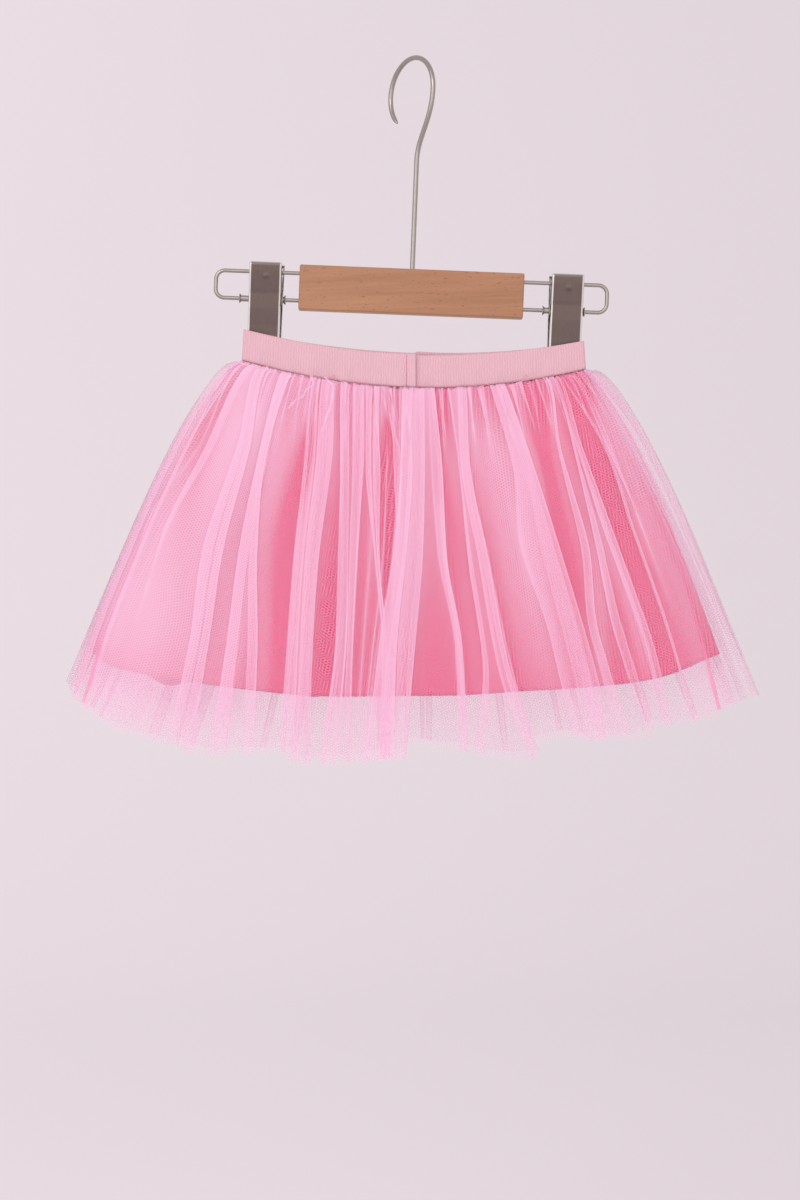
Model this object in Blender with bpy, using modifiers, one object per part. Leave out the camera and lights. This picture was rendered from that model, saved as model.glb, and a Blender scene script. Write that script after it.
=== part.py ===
"""A child's tulle skort hanging by its waistband from a wooden clip hanger.

Units are metres, +Z is up, +X runs to the viewer's right and -Y is the front.  The origin is the
highest point inside the hook, where it bears on a rail.  The hanger hangs a little right end down,
so its pieces are built square in their own frame and turned together by HANGER_TILT.
"""

import math

import bmesh
import bpy
import numpy as np

COLLECTION = "skort_on_clip_hanger"
CUTTERS = "cutters"
GAP = 0.0003

# Hanger
HANGER_TILT = math.radians(2.3)
HOOK_WIRE = 0.0037
HOOK_RADIUS = 0.026
HOOK_TURN = math.radians(37)
SHANK_REACH = 0.0096
SHANK_FROM = -0.076
HOOK_TIP_ANGLE = math.radians(-142)
HOOK_BEND_LOW = 0.018
HOOK_BEND_HIGH = 0.024
BAR_LENGTH = 0.166
BAR_DEPTH = 0.012
BAR_HEIGHT = 0.0332
BAR_EASE = 0.0014
BAR_Z = -0.1731
BAR_X = SHANK_REACH * math.sin(HOOK_TURN)
BAR_Y = -SHANK_REACH * math.cos(HOOK_TURN)
SHANK_IN_BAR = 0.020
LOOP_WIRE = 0.003
LOOP_SPACING = 0.0202
LOOP_END = 0.1448
LOOP_IN_BAR = 0.022
LOOP_CORNER = 0.0065
LOOP_TOP_Z = BAR_Z + 0.0106
LOOP_LOW_Z = LOOP_TOP_Z - LOOP_SPACING

# Clips, each about its pivot on the lower wire
CLIP_LEFT_X = -0.1023
CLIP_RIGHT_X = 0.1209
CLIP_WIDTH = 0.0240
CLIP_SHEET = 0.0008
CLIP_BACK_SHIFT = 0.0012
SLEEVE_BORE = LOOP_WIRE / 2 + GAP
SLEEVE_RADIUS = 0.0023
SLEEVE_FLARE = 0.00325
SLEEVE_LIP = 0.0008
SLEEVE_PAST_LEFT_CLIP = (0.0070, 0.0034)
SLEEVE_PAST_RIGHT_CLIP = (0.0058, 0.0016)
SPRING_WIRE = 0.0009
SPRING_RADIUS = 0.0033
SPRING_TURNS = 4
SPRING_HALF = 0.0055
SPRING_LEG = 0.0135
# columns: height above the pivot, distance of the plate from the hanger's plane, depth of the side flange
CLIP_ROWS = (
    (0.0265, 0.0090, 0.0016),
    (0.0200, 0.0082, 0.0020),
    (0.0070, 0.0060, 0.0026),
    (0.0040, 0.0054, 0.0090),
    (-0.0040, 0.0046, 0.0082),
    (-0.0070, 0.0043, 0.0022),
    (-0.0195, 0.0024, 0.0008),
)
CLIP_JAW_ROWS = ((-0.0260, 0.00165), (-0.0370, 0.00165))

# Waistband
BAND_HALF = 0.1262
BAND_X = 0.0006
BAND_WALL = 0.0016
BAND_DEPTH = 0.0045
BAND_BULGE = 0.003
BAND_LEFT_TOP = -0.2017
BAND_RIGHT_TOP = -0.2102
BAND_LEFT_LOW = -0.2244
BAND_RIGHT_LOW = -0.2309
BAND_SAG_TOP = 0.0144
BAND_SAG_LOW = 0.0170
BACK_SAG_EASE = 0.0022
LAP_UNDER_X = -0.008
LAP_OVER_X = 0.00185
LAP_RISE = BAND_WALL + GAP
LAP_RAMP = (4.86, 4.945)
MID_Y = BAR_Y - BAND_DEPTH

# Skirt
CLOTH_WALL = 0.0012
BAND_SEAM = 0.0004
PUFF_SHARPNESS = 6
PUFF_LIFT = 0.4
PUFF_LIFT_FADES = 0.08
SEAM_PROBE = 0.01
# columns: drop below the band, half depth, flat share of the width, squareness of the ends, front bulge
DEPTH_ROWS = (
    (0.000, 0.0045, 0.972, 4.0, 0.0030),
    (0.012, 0.0060, 0.930, 3.4, 0.0028),
    (0.030, 0.0090, 0.800, 2.8, 0.0022),
    (0.080, 0.0135, 0.500, 2.2, 0.0010),
    (0.160, 0.0185, 0.250, 2.0, 0.0000),
    (0.280, 0.0240, 0.100, 2.0, 0.0000),
)
# columns: place across (-1 left end, 1 right end), tulle length, lining length
HEM_ROWS = (
    (-1.00, 0.269, 0.238),
    (-0.93, 0.281, 0.246),
    (-0.80, 0.286, 0.243),
    (-0.60, 0.286, 0.237),
    (-0.30, 0.284, 0.231),
    (0.00, 0.274, 0.226),
    (0.30, 0.272, 0.226),
    (0.55, 0.270, 0.230),
    (0.80, 0.273, 0.235),
    (1.00, 0.271, 0.231),
)
# columns: where the fold leaves the band, where it meets the hem, its half width there, its height there
FRONT_FOLDS = (
    (-0.1190, -0.2150, 0.020, 0.006),
    (-0.1030, -0.1760, 0.013, 0.009),
    (-0.0860, -0.1350, 0.012, 0.004),
    (-0.0660, -0.0870, 0.012, 0.009),
    (-0.0510, -0.0560, 0.008, 0.005),
    (-0.0300, -0.0330, 0.008, 0.004),
    (0.0000, -0.0090, 0.016, 0.011),
    (0.0210, 0.0370, 0.008, 0.004),
    (0.0330, 0.0800, 0.012, 0.009),
    (0.0560, 0.1090, 0.010, 0.004),
    (0.0780, 0.1400, 0.011, 0.007),
    (0.1000, 0.1650, 0.010, 0.008),
    (0.1160, 0.1980, 0.012, 0.006),
)
BACK_FOLDS = (
    (-0.1120, -0.2020, 0.015, 0.008),
    (-0.0900, -0.1540, 0.012, 0.006),
    (-0.0640, -0.1120, 0.013, 0.009),
    (-0.0420, -0.0660, 0.010, 0.005),
    (-0.0150, -0.0250, 0.014, 0.009),
    (0.0120, 0.0240, 0.010, 0.005),
    (0.0380, 0.0700, 0.013, 0.009),
    (0.0640, 0.1190, 0.011, 0.006),
    (0.0900, 0.1640, 0.014, 0.009),
    (0.1120, 0.2060, 0.013, 0.006),
)
FOLD_WIDTH_AT_BAND = 0.45
FOLD_FADE_NEAR_SIDE = 3.0

# Shorts, plain and hidden
# columns: drop below the band, inner edge from the middle, how far the leg has closed under the crotch
SHORTS_ROWS = (
    (0.000, 0.00015, 0.0),
    (0.012, 0.00015, 0.0),
    (0.050, 0.00015, 0.0),
    (0.100, 0.00015, 0.0),
    (0.137, 0.00015, 0.0),
    (0.150, 0.00150, 0.6),
    (0.158, 0.00300, 1.0),
    (0.176, 0.00600, 1.0),
    (0.195, 0.00900, 1.0),
)
SHORTS_LEG_SQUARENESS = 0.6


class Layer:
    """One cloth layer of the skirt: how far it stands off the band's wall, and how it flares."""

    def __init__(self, off_band, off_hem, puff, puff_power, lean_left, lean_right, fold_share):
        self.off_band = off_band
        self.off_hem = off_hem
        self.puff = puff
        self.puff_power = puff_power
        self.lean_left = math.radians(lean_left)
        self.lean_right = math.radians(lean_right)
        self.fold_share = fold_share


TULLE_OUTER = Layer(0.0026, 0.0060, 0.021, 0.50, 27.7, 27.0, 1.0)
TULLE_UNDER = Layer(0.0008, 0.0010, 0.013, 0.80, 27.7, 26.7, 0.5)
LINING = Layer(-0.0010, -0.0030, 0.0105, 0.82, 28.0, 25.1, 0.2)
SHORTS = Layer(-0.0024, -0.0130, 0.0, 1.00, 6.5, 6.5, 0.0)
FULL_DROP = 0.272


def column(rows, index):
    return [row[index] for row in rows]


def table(rows, key, index):
    """Read one named column of a short table at a value of its first column."""
    return float(np.interp(key, column(rows, 0), column(rows, index)))


def band_edge(across, lower, back):
    """Height of the waistband's upper or lower edge at a place across it."""
    left, right, sag = BAND_LEFT_TOP, BAND_RIGHT_TOP, BAND_SAG_TOP
    if lower:
        left, right, sag = BAND_LEFT_LOW, BAND_RIGHT_LOW, BAND_SAG_LOW
    if back:
        sag -= BACK_SAG_EASE
    return left + (right - left) * (across + 1) / 2 - sag * (1 - across * across)


def around(tau):
    """Place across, and whether at the back, from a place round the loop.

    0 is the left end, 1 the middle of the front, 2 the right end and 3 the middle of the back.
    """
    turn = tau % 4
    back = turn > 2
    v = 3 - turn if back else turn - 1
    return math.sin(math.pi / 2 * v), back


def half_depth(across, drop, extra):
    """Distance of a wall from the loop's middle plane, with rounded ends."""
    flat = table(DEPTH_ROWS, drop, 2)
    square = table(DEPTH_ROWS, drop, 3)
    t = min(1.0, max(0.0, (abs(across) - flat) / (1 - flat)))
    return (table(DEPTH_ROWS, drop, 1) + extra) * (1 - t**square) ** (1 / square)


def fold_height(x, drop, back):
    """Height of the pleats and folds above a panel."""
    rows = BACK_FOLDS if back else FRONT_FOLDS
    share = drop / FULL_DROP
    height = 0.0
    for at_band, at_hem, half_width, top in rows:
        middle = at_band + (at_hem - at_band) * share
        width = half_width * (FOLD_WIDTH_AT_BAND + (1 - FOLD_WIDTH_AT_BAND) * share)
        height += top * math.exp(-(((x - middle) / width) ** 2))
    return height * share


def skirt_point(layer, tau, drop):
    """A point of a skirt layer, that far along the cloth below the band."""
    across, back = around(tau)
    share = drop / FULL_DROP
    off = layer.off_band + (layer.off_hem - layer.off_band) * share
    lean = across * (layer.lean_left if across < 0 else layer.lean_right)
    side = math.copysign(abs(across) ** PUFF_SHARPNESS, across)
    puff = layer.puff * math.sin(math.pi * min(share, 1.0) ** layer.puff_power)
    x = BAND_X + (BAND_HALF + off) * across + drop * math.sin(lean) + side * puff
    lift = PUFF_LIFT * abs(side) * puff * math.exp(-share / PUFF_LIFT_FADES)
    under_band = max(-1.0, min(1.0, across * (1 + layer.off_band / BAND_HALF)))
    z = band_edge(under_band, True, back) - BAND_SEAM - drop * math.cos(lean) + lift
    depth = half_depth(across, drop, off)
    calm = min(1.0, FOLD_FADE_NEAR_SIDE * math.sqrt(max(0.0, 1 - across * across)))
    depth += layer.fold_share * calm * fold_height(x, drop, back)
    if back:
        return (x, MID_Y + depth, z)
    return (x, MID_Y - depth - table(DEPTH_ROWS, drop, 4) * (1 - across * across), z)


def hex_colour(text):
    """An sRGB colour such as #F08AB0, as linear red, green, blue and alpha."""
    parts = [int(text[i : i + 2], 16) / 255 for i in (1, 3, 5)]
    linear = [c / 12.92 if c <= 0.04045 else ((c + 0.055) / 1.055) ** 2.4 for c in parts]
    return (*linear, 1.0)


def material(name, colour, roughness, metallic=0.0):
    made = bpy.data.materials.get(name)
    if made:
        return made
    made = bpy.data.materials.new(name)
    made.use_nodes = True
    shader = made.node_tree.nodes["Principled BSDF"]
    shader.inputs["Base Color"].default_value = hex_colour(colour)
    shader.inputs["Roughness"].default_value = roughness
    shader.inputs["Metallic"].default_value = metallic
    return made


def tulle_material():
    return material("pink_polyester_tulle", "#F7B2D1", 0.75)


def lining_material():
    return material("pink_woven_lining", "#EE6A93", 0.7)


def shorts_material():
    return material("pink_knit_jersey", "#F08AB0", 0.85)


def band_material():
    return material("dusty_pink_ribbed_elastic", "#E6B5C4", 0.8)


def wood_material():
    return material("oiled_beech", "#B58164", 0.5)


def chrome_material():
    return material("bright_nickel_wire", "#C9C8C6", 0.25, 1.0)


def plate_material():
    return material("polished_steel_sheet", "#8E857E", 0.3, 1.0)


def add_object(name, mesh, look, group, parent=None):
    made = bpy.data.objects.new(name, mesh)
    made.data.materials.append(look)
    group.objects.link(made)
    made.parent = parent
    return made


def add_tube(name, points, diameter, look, group, parent, sides=2):
    """A wire or tube along a chain of points, with filled ends."""
    curve = bpy.data.curves.new(name, "CURVE")
    curve.dimensions = "3D"
    curve.bevel_depth = diameter / 2
    curve.bevel_resolution = sides
    curve.use_fill_caps = True
    spline = curve.splines.new("POLY")
    spline.points.add(len(points) - 1)
    for knot, point in zip(spline.points, points):
        knot.co = (*point, 1.0)
    spline.use_smooth = True
    return add_object(name, curve, look, group, parent)


def add_sheet(name, columns, rows, place, wall, look, group):
    """A cloth panel: a grid laid on place(column share, row share), given its wall."""
    bm = bmesh.new()
    bmesh.ops.create_grid(bm, x_segments=columns, y_segments=rows, size=0.5)
    for vert in bm.verts:
        vert.co = place(vert.co.x + 0.5, 0.5 - vert.co.y)
    mesh = bpy.data.meshes.new(name)
    bm.to_mesh(mesh)
    bm.free()
    mesh.shade_smooth()
    made = add_object(name, mesh, look, group)
    shell = made.modifiers.new("wall", "SOLIDIFY")
    shell.thickness = wall
    shell.offset = 0
    return made


def cut(target, cutter):
    """Take a cutter's shape out of a piece."""
    cutter.hide_render = True
    cutter.display_type = "WIRE"
    step = target.modifiers.new("cut", "BOOLEAN")
    step.operation = "DIFFERENCE"
    step.solver = "EXACT"
    step.object = cutter


def rod_cutter(name, radius, length, axis, centre, cutters, parent, sides=16):
    """A round cutter along X or Z, for holes."""
    bm = bmesh.new()
    bmesh.ops.create_cone(
        bm, cap_ends=True, segments=sides, radius1=radius, radius2=radius, depth=length
    )
    mesh = bpy.data.meshes.new(name)
    bm.to_mesh(mesh)
    bm.free()
    made = bpy.data.objects.new(name, mesh)
    cutters.objects.link(made)
    made.parent = parent
    made.location = centre
    if axis == "X":
        made.rotation_euler = (0, math.pi / 2, 0)
    return made


def hook_plane(reach, z):
    """A point of the hook's own upright plane, by its reach from the bearing point."""
    return (reach * math.sin(HOOK_TURN), -reach * math.cos(HOOK_TURN), z)


def hook_points():
    """The hook from its shank up, round the rail and down to its tip."""
    centre_z = HOOK_WIRE / 2 - HOOK_RADIUS
    shank_end = BAR_Z + BAR_HEIGHT / 2 - SHANK_IN_BAR
    points = [hook_plane(SHANK_REACH, shank_end + (SHANK_FROM - shank_end) * i / 4) for i in range(4)]
    start = np.array((SHANK_REACH, SHANK_FROM))
    bend = (
        start,
        start + (0, HOOK_BEND_LOW),
        np.array((HOOK_RADIUS, centre_z - HOOK_BEND_HIGH)),
        np.array((HOOK_RADIUS, centre_z)),
    )
    for i in range(14):
        t = i / 14
        at = (
            (1 - t) ** 3 * bend[0]
            + 3 * t * (1 - t) ** 2 * bend[1]
            + 3 * t * t * (1 - t) * bend[2]
            + t**3 * bend[3]
        )
        points.append(hook_plane(at[0], at[1]))
    first = math.pi / 2
    steps = 28
    for i in range(steps + 1):
        angle = first + (HOOK_TIP_ANGLE - first) * i / steps
        points.append(hook_plane(HOOK_RADIUS * math.sin(angle), centre_z + HOOK_RADIUS * math.cos(angle)))
    return points


def build_hook(group, frame):
    add_tube("hanger_hook", hook_points(), HOOK_WIRE, chrome_material(), group, frame, sides=3)


def build_bar(group, cutters, frame):
    """The wooden bar, with its holes for the shank and the four wire ends."""
    bm = bmesh.new()
    bmesh.ops.create_cube(bm, size=1.0)
    for vert in bm.verts:
        vert.co.x = vert.co.x * BAR_LENGTH + BAR_X
        vert.co.y = vert.co.y * BAR_DEPTH + BAR_Y
        vert.co.z = vert.co.z * BAR_HEIGHT + BAR_Z
    mesh = bpy.data.meshes.new("hanger_bar")
    bm.to_mesh(mesh)
    bm.free()
    bar = add_object("hanger_bar", mesh, wood_material(), group, frame)
    ease = bar.modifiers.new("eased_edges", "BEVEL")
    ease.width = BAR_EASE
    ease.segments = 2
    top = BAR_Z + BAR_HEIGHT / 2
    shank_hole = rod_cutter(
        "shank_hole",
        HOOK_WIRE / 2 + GAP,
        2 * (SHANK_IN_BAR + GAP),
        "Z",
        (BAR_X, BAR_Y, top),
        cutters,
        frame,
    )
    cut(bar, shank_hole)
    for side in (-1, 1):
        for number, z in enumerate((LOOP_TOP_Z, LOOP_LOW_Z)):
            hole = rod_cutter(
                f"wire_hole_{side}_{number}",
                LOOP_WIRE / 2 + GAP,
                2 * (LOOP_IN_BAR + GAP),
                "X",
                (BAR_X + side * BAR_LENGTH / 2, BAR_Y, z),
                cutters,
                frame,
            )
            cut(bar, hole)


def build_loops(group, frame):
    """The wire loop that each clip slides on, from the bar's end out and back."""
    for name, side in (("hanger_loop_left", -1), ("hanger_loop_right", 1)):
        inner = BAR_X + side * (BAR_LENGTH / 2 - LOOP_IN_BAR)
        turn_x = BAR_X + side * (LOOP_END - LOOP_CORNER)
        points = [(inner, BAR_Y, LOOP_TOP_Z)]
        for corner, (z, way) in enumerate(((LOOP_TOP_Z, -1), (LOOP_LOW_Z, 1))):
            centre_z = z + way * LOOP_CORNER
            for i in range(6):
                angle = math.pi / 2 * (i / 5 if corner == 0 else 1 - i / 5)
                out = LOOP_CORNER * math.sin(angle)
                up = -way * LOOP_CORNER * math.cos(angle)
                points.append((turn_x + side * out, BAR_Y, centre_z + up))
        points.append((inner, BAR_Y, LOOP_LOW_Z))
        add_tube(name, points, LOOP_WIRE, chrome_material(), group, frame)


def build_plate(name, centre_x, front, shift, group, cutters, frame):
    """A clip's pressed plate: a bent face with side flanges that widen into ears round the pivot."""
    way = -1 if front else 1
    half = (CLIP_WIDTH - CLIP_SHEET) / 2
    bm = bmesh.new()
    grid = []
    for height, out, flange in CLIP_ROWS:
        face_y = way * out
        edge_y = face_y - way * flange
        grid.append(
            [
                bm.verts.new((centre_x + shift + x, BAR_Y + y, LOOP_LOW_Z + height))
                for x, y in ((-half, edge_y), (-half, face_y), (half, face_y), (half, edge_y))
            ]
        )
    for upper, lower in zip(grid, grid[1:]):
        for i in range(3):
            bm.faces.new((upper[i], upper[i + 1], lower[i + 1], lower[i]))
    last = grid[-1][1:3]
    for height, out in CLIP_JAW_ROWS:
        new = [
            bm.verts.new((centre_x + shift + x, BAR_Y + way * out, LOOP_LOW_Z + height))
            for x in (-half, half)
        ]
        bm.faces.new((last[0], last[1], new[1], new[0]))
        last = new
    bmesh.ops.recalc_face_normals(bm, faces=bm.faces)
    mesh = bpy.data.meshes.new(name)
    bm.to_mesh(mesh)
    bm.free()
    plate = add_object(name, mesh, plate_material(), group, frame)
    shell = plate.modifiers.new("sheet", "SOLIDIFY")
    shell.thickness = CLIP_SHEET
    shell.offset = 0
    hole = rod_cutter(
        name + "_pivot_hole",
        SLEEVE_RADIUS + GAP,
        2 * CLIP_WIDTH,
        "X",
        (centre_x, BAR_Y, LOOP_LOW_Z),
        cutters,
        frame,
    )
    cut(plate, hole)


def build_sleeve(name, centre_x, first, last, group, frame):
    """The hollow pivot sleeve on the lower wire, with a flared lip at each end."""
    profile = (
        (first, SLEEVE_BORE),
        (last, SLEEVE_BORE),
        (last, SLEEVE_FLARE),
        (last - SLEEVE_LIP, SLEEVE_FLARE),
        (last - 2 * SLEEVE_LIP, SLEEVE_RADIUS),
        (first + 2 * SLEEVE_LIP, SLEEVE_RADIUS),
        (first + SLEEVE_LIP, SLEEVE_FLARE),
        (first, SLEEVE_FLARE),
    )
    bm = bmesh.new()
    verts = [bm.verts.new((x, 0, r)) for x, r in profile]
    for i, vert in enumerate(verts):
        bm.edges.new((vert, verts[(i + 1) % len(verts)]))
    bmesh.ops.spin(
        bm,
        geom=bm.verts[:] + bm.edges[:],
        cent=(0, 0, 0),
        axis=(1, 0, 0),
        angle=2 * math.pi,
        steps=16,
        use_merge=True,
    )
    bmesh.ops.recalc_face_normals(bm, faces=bm.faces)
    for vert in bm.verts:
        vert.co.x += centre_x
        vert.co.y += BAR_Y
        vert.co.z += LOOP_LOW_Z
    mesh = bpy.data.meshes.new(name)
    bm.to_mesh(mesh)
    bm.free()
    mesh.shade_smooth()
    add_object(name, mesh, chrome_material(), group, frame)


def build_spring(name, centre_x, group, frame):
    """The torsion spring round the sleeve, one leg up behind each plate."""
    plate_y = table(CLIP_ROWS[::-1], SPRING_LEG, 1)
    leg_y = plate_y - CLIP_SHEET / 2 - SPRING_WIRE / 2 - GAP
    points = [(-SPRING_HALF, -leg_y, SPRING_LEG)]
    steps = SPRING_TURNS * 10
    for i in range(steps + 1):
        t = i / steps
        angle = math.pi + t * (2 * SPRING_TURNS - 1) * math.pi
        points.append(
            (
                -SPRING_HALF + 2 * SPRING_HALF * t,
                SPRING_RADIUS * math.cos(angle),
                SPRING_RADIUS * math.sin(angle),
            )
        )
    points.append((SPRING_HALF, leg_y, SPRING_LEG))
    placed = [(centre_x + x, BAR_Y + y, LOOP_LOW_Z + z) for x, y, z in points]
    add_tube(name, placed, SPRING_WIRE, chrome_material(), group, frame, sides=1)


def build_clips(group, cutters, frame):
    half = CLIP_WIDTH / 2
    for side, centre_x, shift, past in (
        ("left", CLIP_LEFT_X, CLIP_BACK_SHIFT, SLEEVE_PAST_LEFT_CLIP),
        ("right", CLIP_RIGHT_X, -CLIP_BACK_SHIFT, SLEEVE_PAST_RIGHT_CLIP),
    ):
        build_plate(f"clip_{side}_front", centre_x, True, 0.0, group, cutters, frame)
        build_plate(f"clip_{side}_back", centre_x, False, shift, group, cutters, frame)
        build_sleeve(f"clip_{side}_sleeve", centre_x, -half - past[0], half + past[1], group, frame)
        build_spring(f"clip_{side}_spring", centre_x, group, frame)


def tau_at(x):
    """Place round the front of the band for a distance from its middle."""
    return 1 + math.asin((x - BAND_X) / BAND_HALF) * 2 / math.pi


def build_band(group):
    """The elastic: one strip round the waist, its left end lapped over its right end at the front."""
    first = tau_at(LAP_UNDER_X)
    last = 4 + tau_at(LAP_OVER_X)

    def place(along, down):
        tau = first + (last - first) * along
        across, back = around(tau)
        top = band_edge(across, False, back)
        low = band_edge(across, True, back)
        rise = LAP_RISE * float(np.interp(tau, LAP_RAMP, (0, 1)))
        depth = half_depth(across, 0.0, rise)
        x = BAND_X + BAND_HALF * across
        z = top + (low - top) * down
        if back:
            return (x, MID_Y + depth, z)
        return (x, MID_Y - depth - BAND_BULGE * (1 - across * across), z)

    add_sheet("waistband", 88, 2, place, BAND_WALL, band_material(), group)


def seam_step(layer, tau, drop):
    """How much of the way round half a seam gap takes at that place."""
    a = np.array(skirt_point(layer, tau - SEAM_PROBE, drop))
    b = np.array(skirt_point(layer, tau + SEAM_PROBE, drop))
    return GAP * SEAM_PROBE / float(np.linalg.norm(b - a))


def add_panel(name, layer, ends, columns, drops, length_column, look, group):
    """A skirt panel between two seams, from the band to its hem."""

    def place(along, down):
        share = float(np.interp(down * (len(drops) - 1), range(len(drops)), drops))
        middle = ends[0] + (ends[1] - ends[0]) * along
        across, _ = around(middle)
        drop = share * table(HEM_ROWS, across, length_column)
        first = ends[0] + seam_step(layer, ends[0], drop)
        last = ends[1] - seam_step(layer, ends[1], drop)
        return skirt_point(layer, first + (last - first) * along, drop)

    return add_sheet(name, columns, len(drops) - 1, place, CLOTH_WALL, look, group)


def build_skirt(group):
    """Two layers of tulle over the lining, each a front and a back panel."""
    fine = (0.0, 0.022, 0.065, 0.15, 0.30, 0.50, 0.75, 1.0)
    plain = (0.0, 0.03, 0.12, 0.30, 0.62, 1.0)
    tulle_left, tulle_right = 0.22, 1.72
    lining_left, lining_right = 0.14, 1.86
    tulle = tulle_material()
    lining = lining_material()
    add_panel("tulle_outer_front", TULLE_OUTER, (tulle_left, tulle_right), 60, fine, 1, tulle, group)
    add_panel("tulle_outer_back", TULLE_OUTER, (tulle_right, 4 + tulle_left), 68, fine, 1, tulle, group)
    add_panel("tulle_under_front", TULLE_UNDER, (tulle_left, tulle_right), 34, plain, 1, tulle, group)
    add_panel("tulle_under_back", TULLE_UNDER, (tulle_right, 4 + tulle_left), 40, plain, 1, tulle, group)
    add_panel("lining_front", LINING, (lining_left, lining_right), 30, plain, 2, lining, group)
    add_panel("lining_back", LINING, (lining_right, 4 + lining_left), 34, plain, 2, lining, group)


def shorts_point(side, t, row):
    """A point of a leg: t runs from the middle front round the outside to the middle back."""
    drop, inner, closed = row
    front = t <= 1
    s = t if front else 2 - t
    share = drop / FULL_DROP
    off = SHORTS.off_band + (SHORTS.off_hem - SHORTS.off_band) * share
    width = BAND_HALF + off + drop * math.sin(SHORTS.lean_right)
    open_reach = math.sin(math.pi / 2 * s)
    closed_reach = (1 - math.cos(math.pi * s)) / 2
    reach = open_reach + (closed_reach - open_reach) * closed
    across = side * (inner + (width - inner) * reach) / width
    round_in = math.sin(math.pi / 2 * min(1.0, 2 * s)) ** SHORTS_LEG_SQUARENESS
    depth = half_depth(across, drop, off) * (1 + (round_in - 1) * closed)
    bulge = table(DEPTH_ROWS, drop, 4) * (1 - across * across) * (1 + (round_in - 1) * closed)
    x = BAND_X + across * width
    z = band_edge(across, True, not front) - BAND_SEAM - drop
    seam = GAP / 2 * closed
    if front:
        return (x, MID_Y - depth - bulge - seam, z)
    return (x, MID_Y + depth + seam, z)


def build_shorts(group):
    """The two legs, each cut in one piece from the middle front seam to the middle back seam."""
    for name, side in (("shorts_left", -1), ("shorts_right", 1)):

        def place(along, down):
            index = round(down * (len(SHORTS_ROWS) - 1))
            return shorts_point(side, 2 * along, SHORTS_ROWS[index])

        add_sheet(name, 40, len(SHORTS_ROWS) - 1, place, CLOTH_WALL, shorts_material(), group)


def main():
    for old in list(bpy.data.objects):
        bpy.data.objects.remove(old, do_unlink=True)
    group = bpy.data.collections.new(COLLECTION)
    cutters = bpy.data.collections.new(CUTTERS)
    bpy.context.scene.collection.children.link(group)
    bpy.context.scene.collection.children.link(cutters)
    frame = bpy.data.objects.new("hanger_frame", None)
    frame.rotation_euler = (0, HANGER_TILT, 0)
    group.objects.link(frame)
    build_hook(group, frame)
    build_bar(group, cutters, frame)
    build_loops(group, frame)
    build_clips(group, cutters, frame)
    build_band(group)
    build_skirt(group)
    build_shorts(group)


main()
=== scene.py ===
"""Looks of a child's tulle skort hanging on a wooden clip hanger.

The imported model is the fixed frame.  Every piece here stands in the place of its CAD node: the net skirt
with its pleats, the lining, the shorts, the elastic, and the hanger with its hook, wire loops and clips.
Units are metres, +Z is up and -Y is the front.
"""

import math
from collections import namedtuple

import bmesh
import bpy
import numpy as np
from bpy.props import FloatProperty, FloatVectorProperty, IntProperty, PointerProperty
from bpy.types import Operator, Panel, PropertyGroup
from mathutils import Matrix, Vector


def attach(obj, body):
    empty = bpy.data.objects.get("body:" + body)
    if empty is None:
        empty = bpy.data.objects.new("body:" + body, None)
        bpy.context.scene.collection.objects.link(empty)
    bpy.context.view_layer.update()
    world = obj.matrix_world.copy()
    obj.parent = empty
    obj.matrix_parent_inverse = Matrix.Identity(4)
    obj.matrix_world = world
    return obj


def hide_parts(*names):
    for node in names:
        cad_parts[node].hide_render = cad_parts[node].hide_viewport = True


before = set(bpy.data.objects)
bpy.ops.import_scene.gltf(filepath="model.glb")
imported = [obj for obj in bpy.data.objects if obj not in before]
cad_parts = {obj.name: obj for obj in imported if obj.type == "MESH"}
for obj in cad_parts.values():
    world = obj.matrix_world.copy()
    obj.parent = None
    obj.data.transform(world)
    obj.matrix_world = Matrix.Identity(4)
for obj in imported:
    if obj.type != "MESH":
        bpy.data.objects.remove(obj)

bl_info = {
    "name": "Skort on clip hanger",
    "version": (1, 0, 0),
    "blender": (4, 5, 0),
    "location": "View3D > Sidebar > Skort",
    "description": "Builds the looks of a tulle skort and its clip hanger round the packed model",
    "category": "Object",
}

MM = 0.001

# Hanger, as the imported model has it
HANGER_TILT = math.radians(2.3)
HOOK_RADIUS = 0.026
HOOK_TURN = math.radians(37)
SHANK_REACH = 0.0096
SHANK_FROM = -0.076
HOOK_TIP_ANGLE = math.radians(-142)
HOOK_BEND_LOW = 0.018
HOOK_BEND_HIGH = 0.024
BAR_Z = -0.1731
BAR_X = SHANK_REACH * math.sin(HOOK_TURN)
BAR_Y = -SHANK_REACH * math.cos(HOOK_TURN)
SHANK_IN_BAR = 0.020
LOOP_SPACING = 0.0202
LOOP_END = 0.1448
LOOP_IN_BAR = 0.022
LOOP_CORNER = 0.0065
LOOP_TOP_Z = BAR_Z + 0.0106
LOOP_LOW_Z = LOOP_TOP_Z - LOOP_SPACING
CLIPS = {"left": (-0.1023, 0.0012), "right": (0.1209, -0.0012)}
SLEEVES = {"left": (-0.0190, 0.0154), "right": (-0.0178, 0.0136)}
SLEEVE_BORE = 0.0018
SLEEVE_RADIUS = 0.0023
SLEEVE_FLARE = 0.0031
SPRING_RADIUS = 0.0033
SPRING_TURNS = 4
SPRING_HALF = 0.0055
SPRING_LEG = 0.0135
# columns: height above the pivot, distance of the plate from the hanger's plane, depth of the side flange
CLIP_ROWS = (
    (-0.0370, 0.00165, 0.0002),
    (-0.0260, 0.00165, 0.0002),
    (-0.0195, 0.0024, 0.0008),
    (-0.0070, 0.0043, 0.0022),
    (-0.0040, 0.0046, 0.0082),
    (0.0040, 0.0054, 0.0090),
    (0.0070, 0.0060, 0.0026),
    (0.0200, 0.0082, 0.0020),
    (0.0265, 0.0090, 0.0016),
)
PLATE_BEND = 0.0013
PLATE_ROLL = 0.0022
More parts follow.
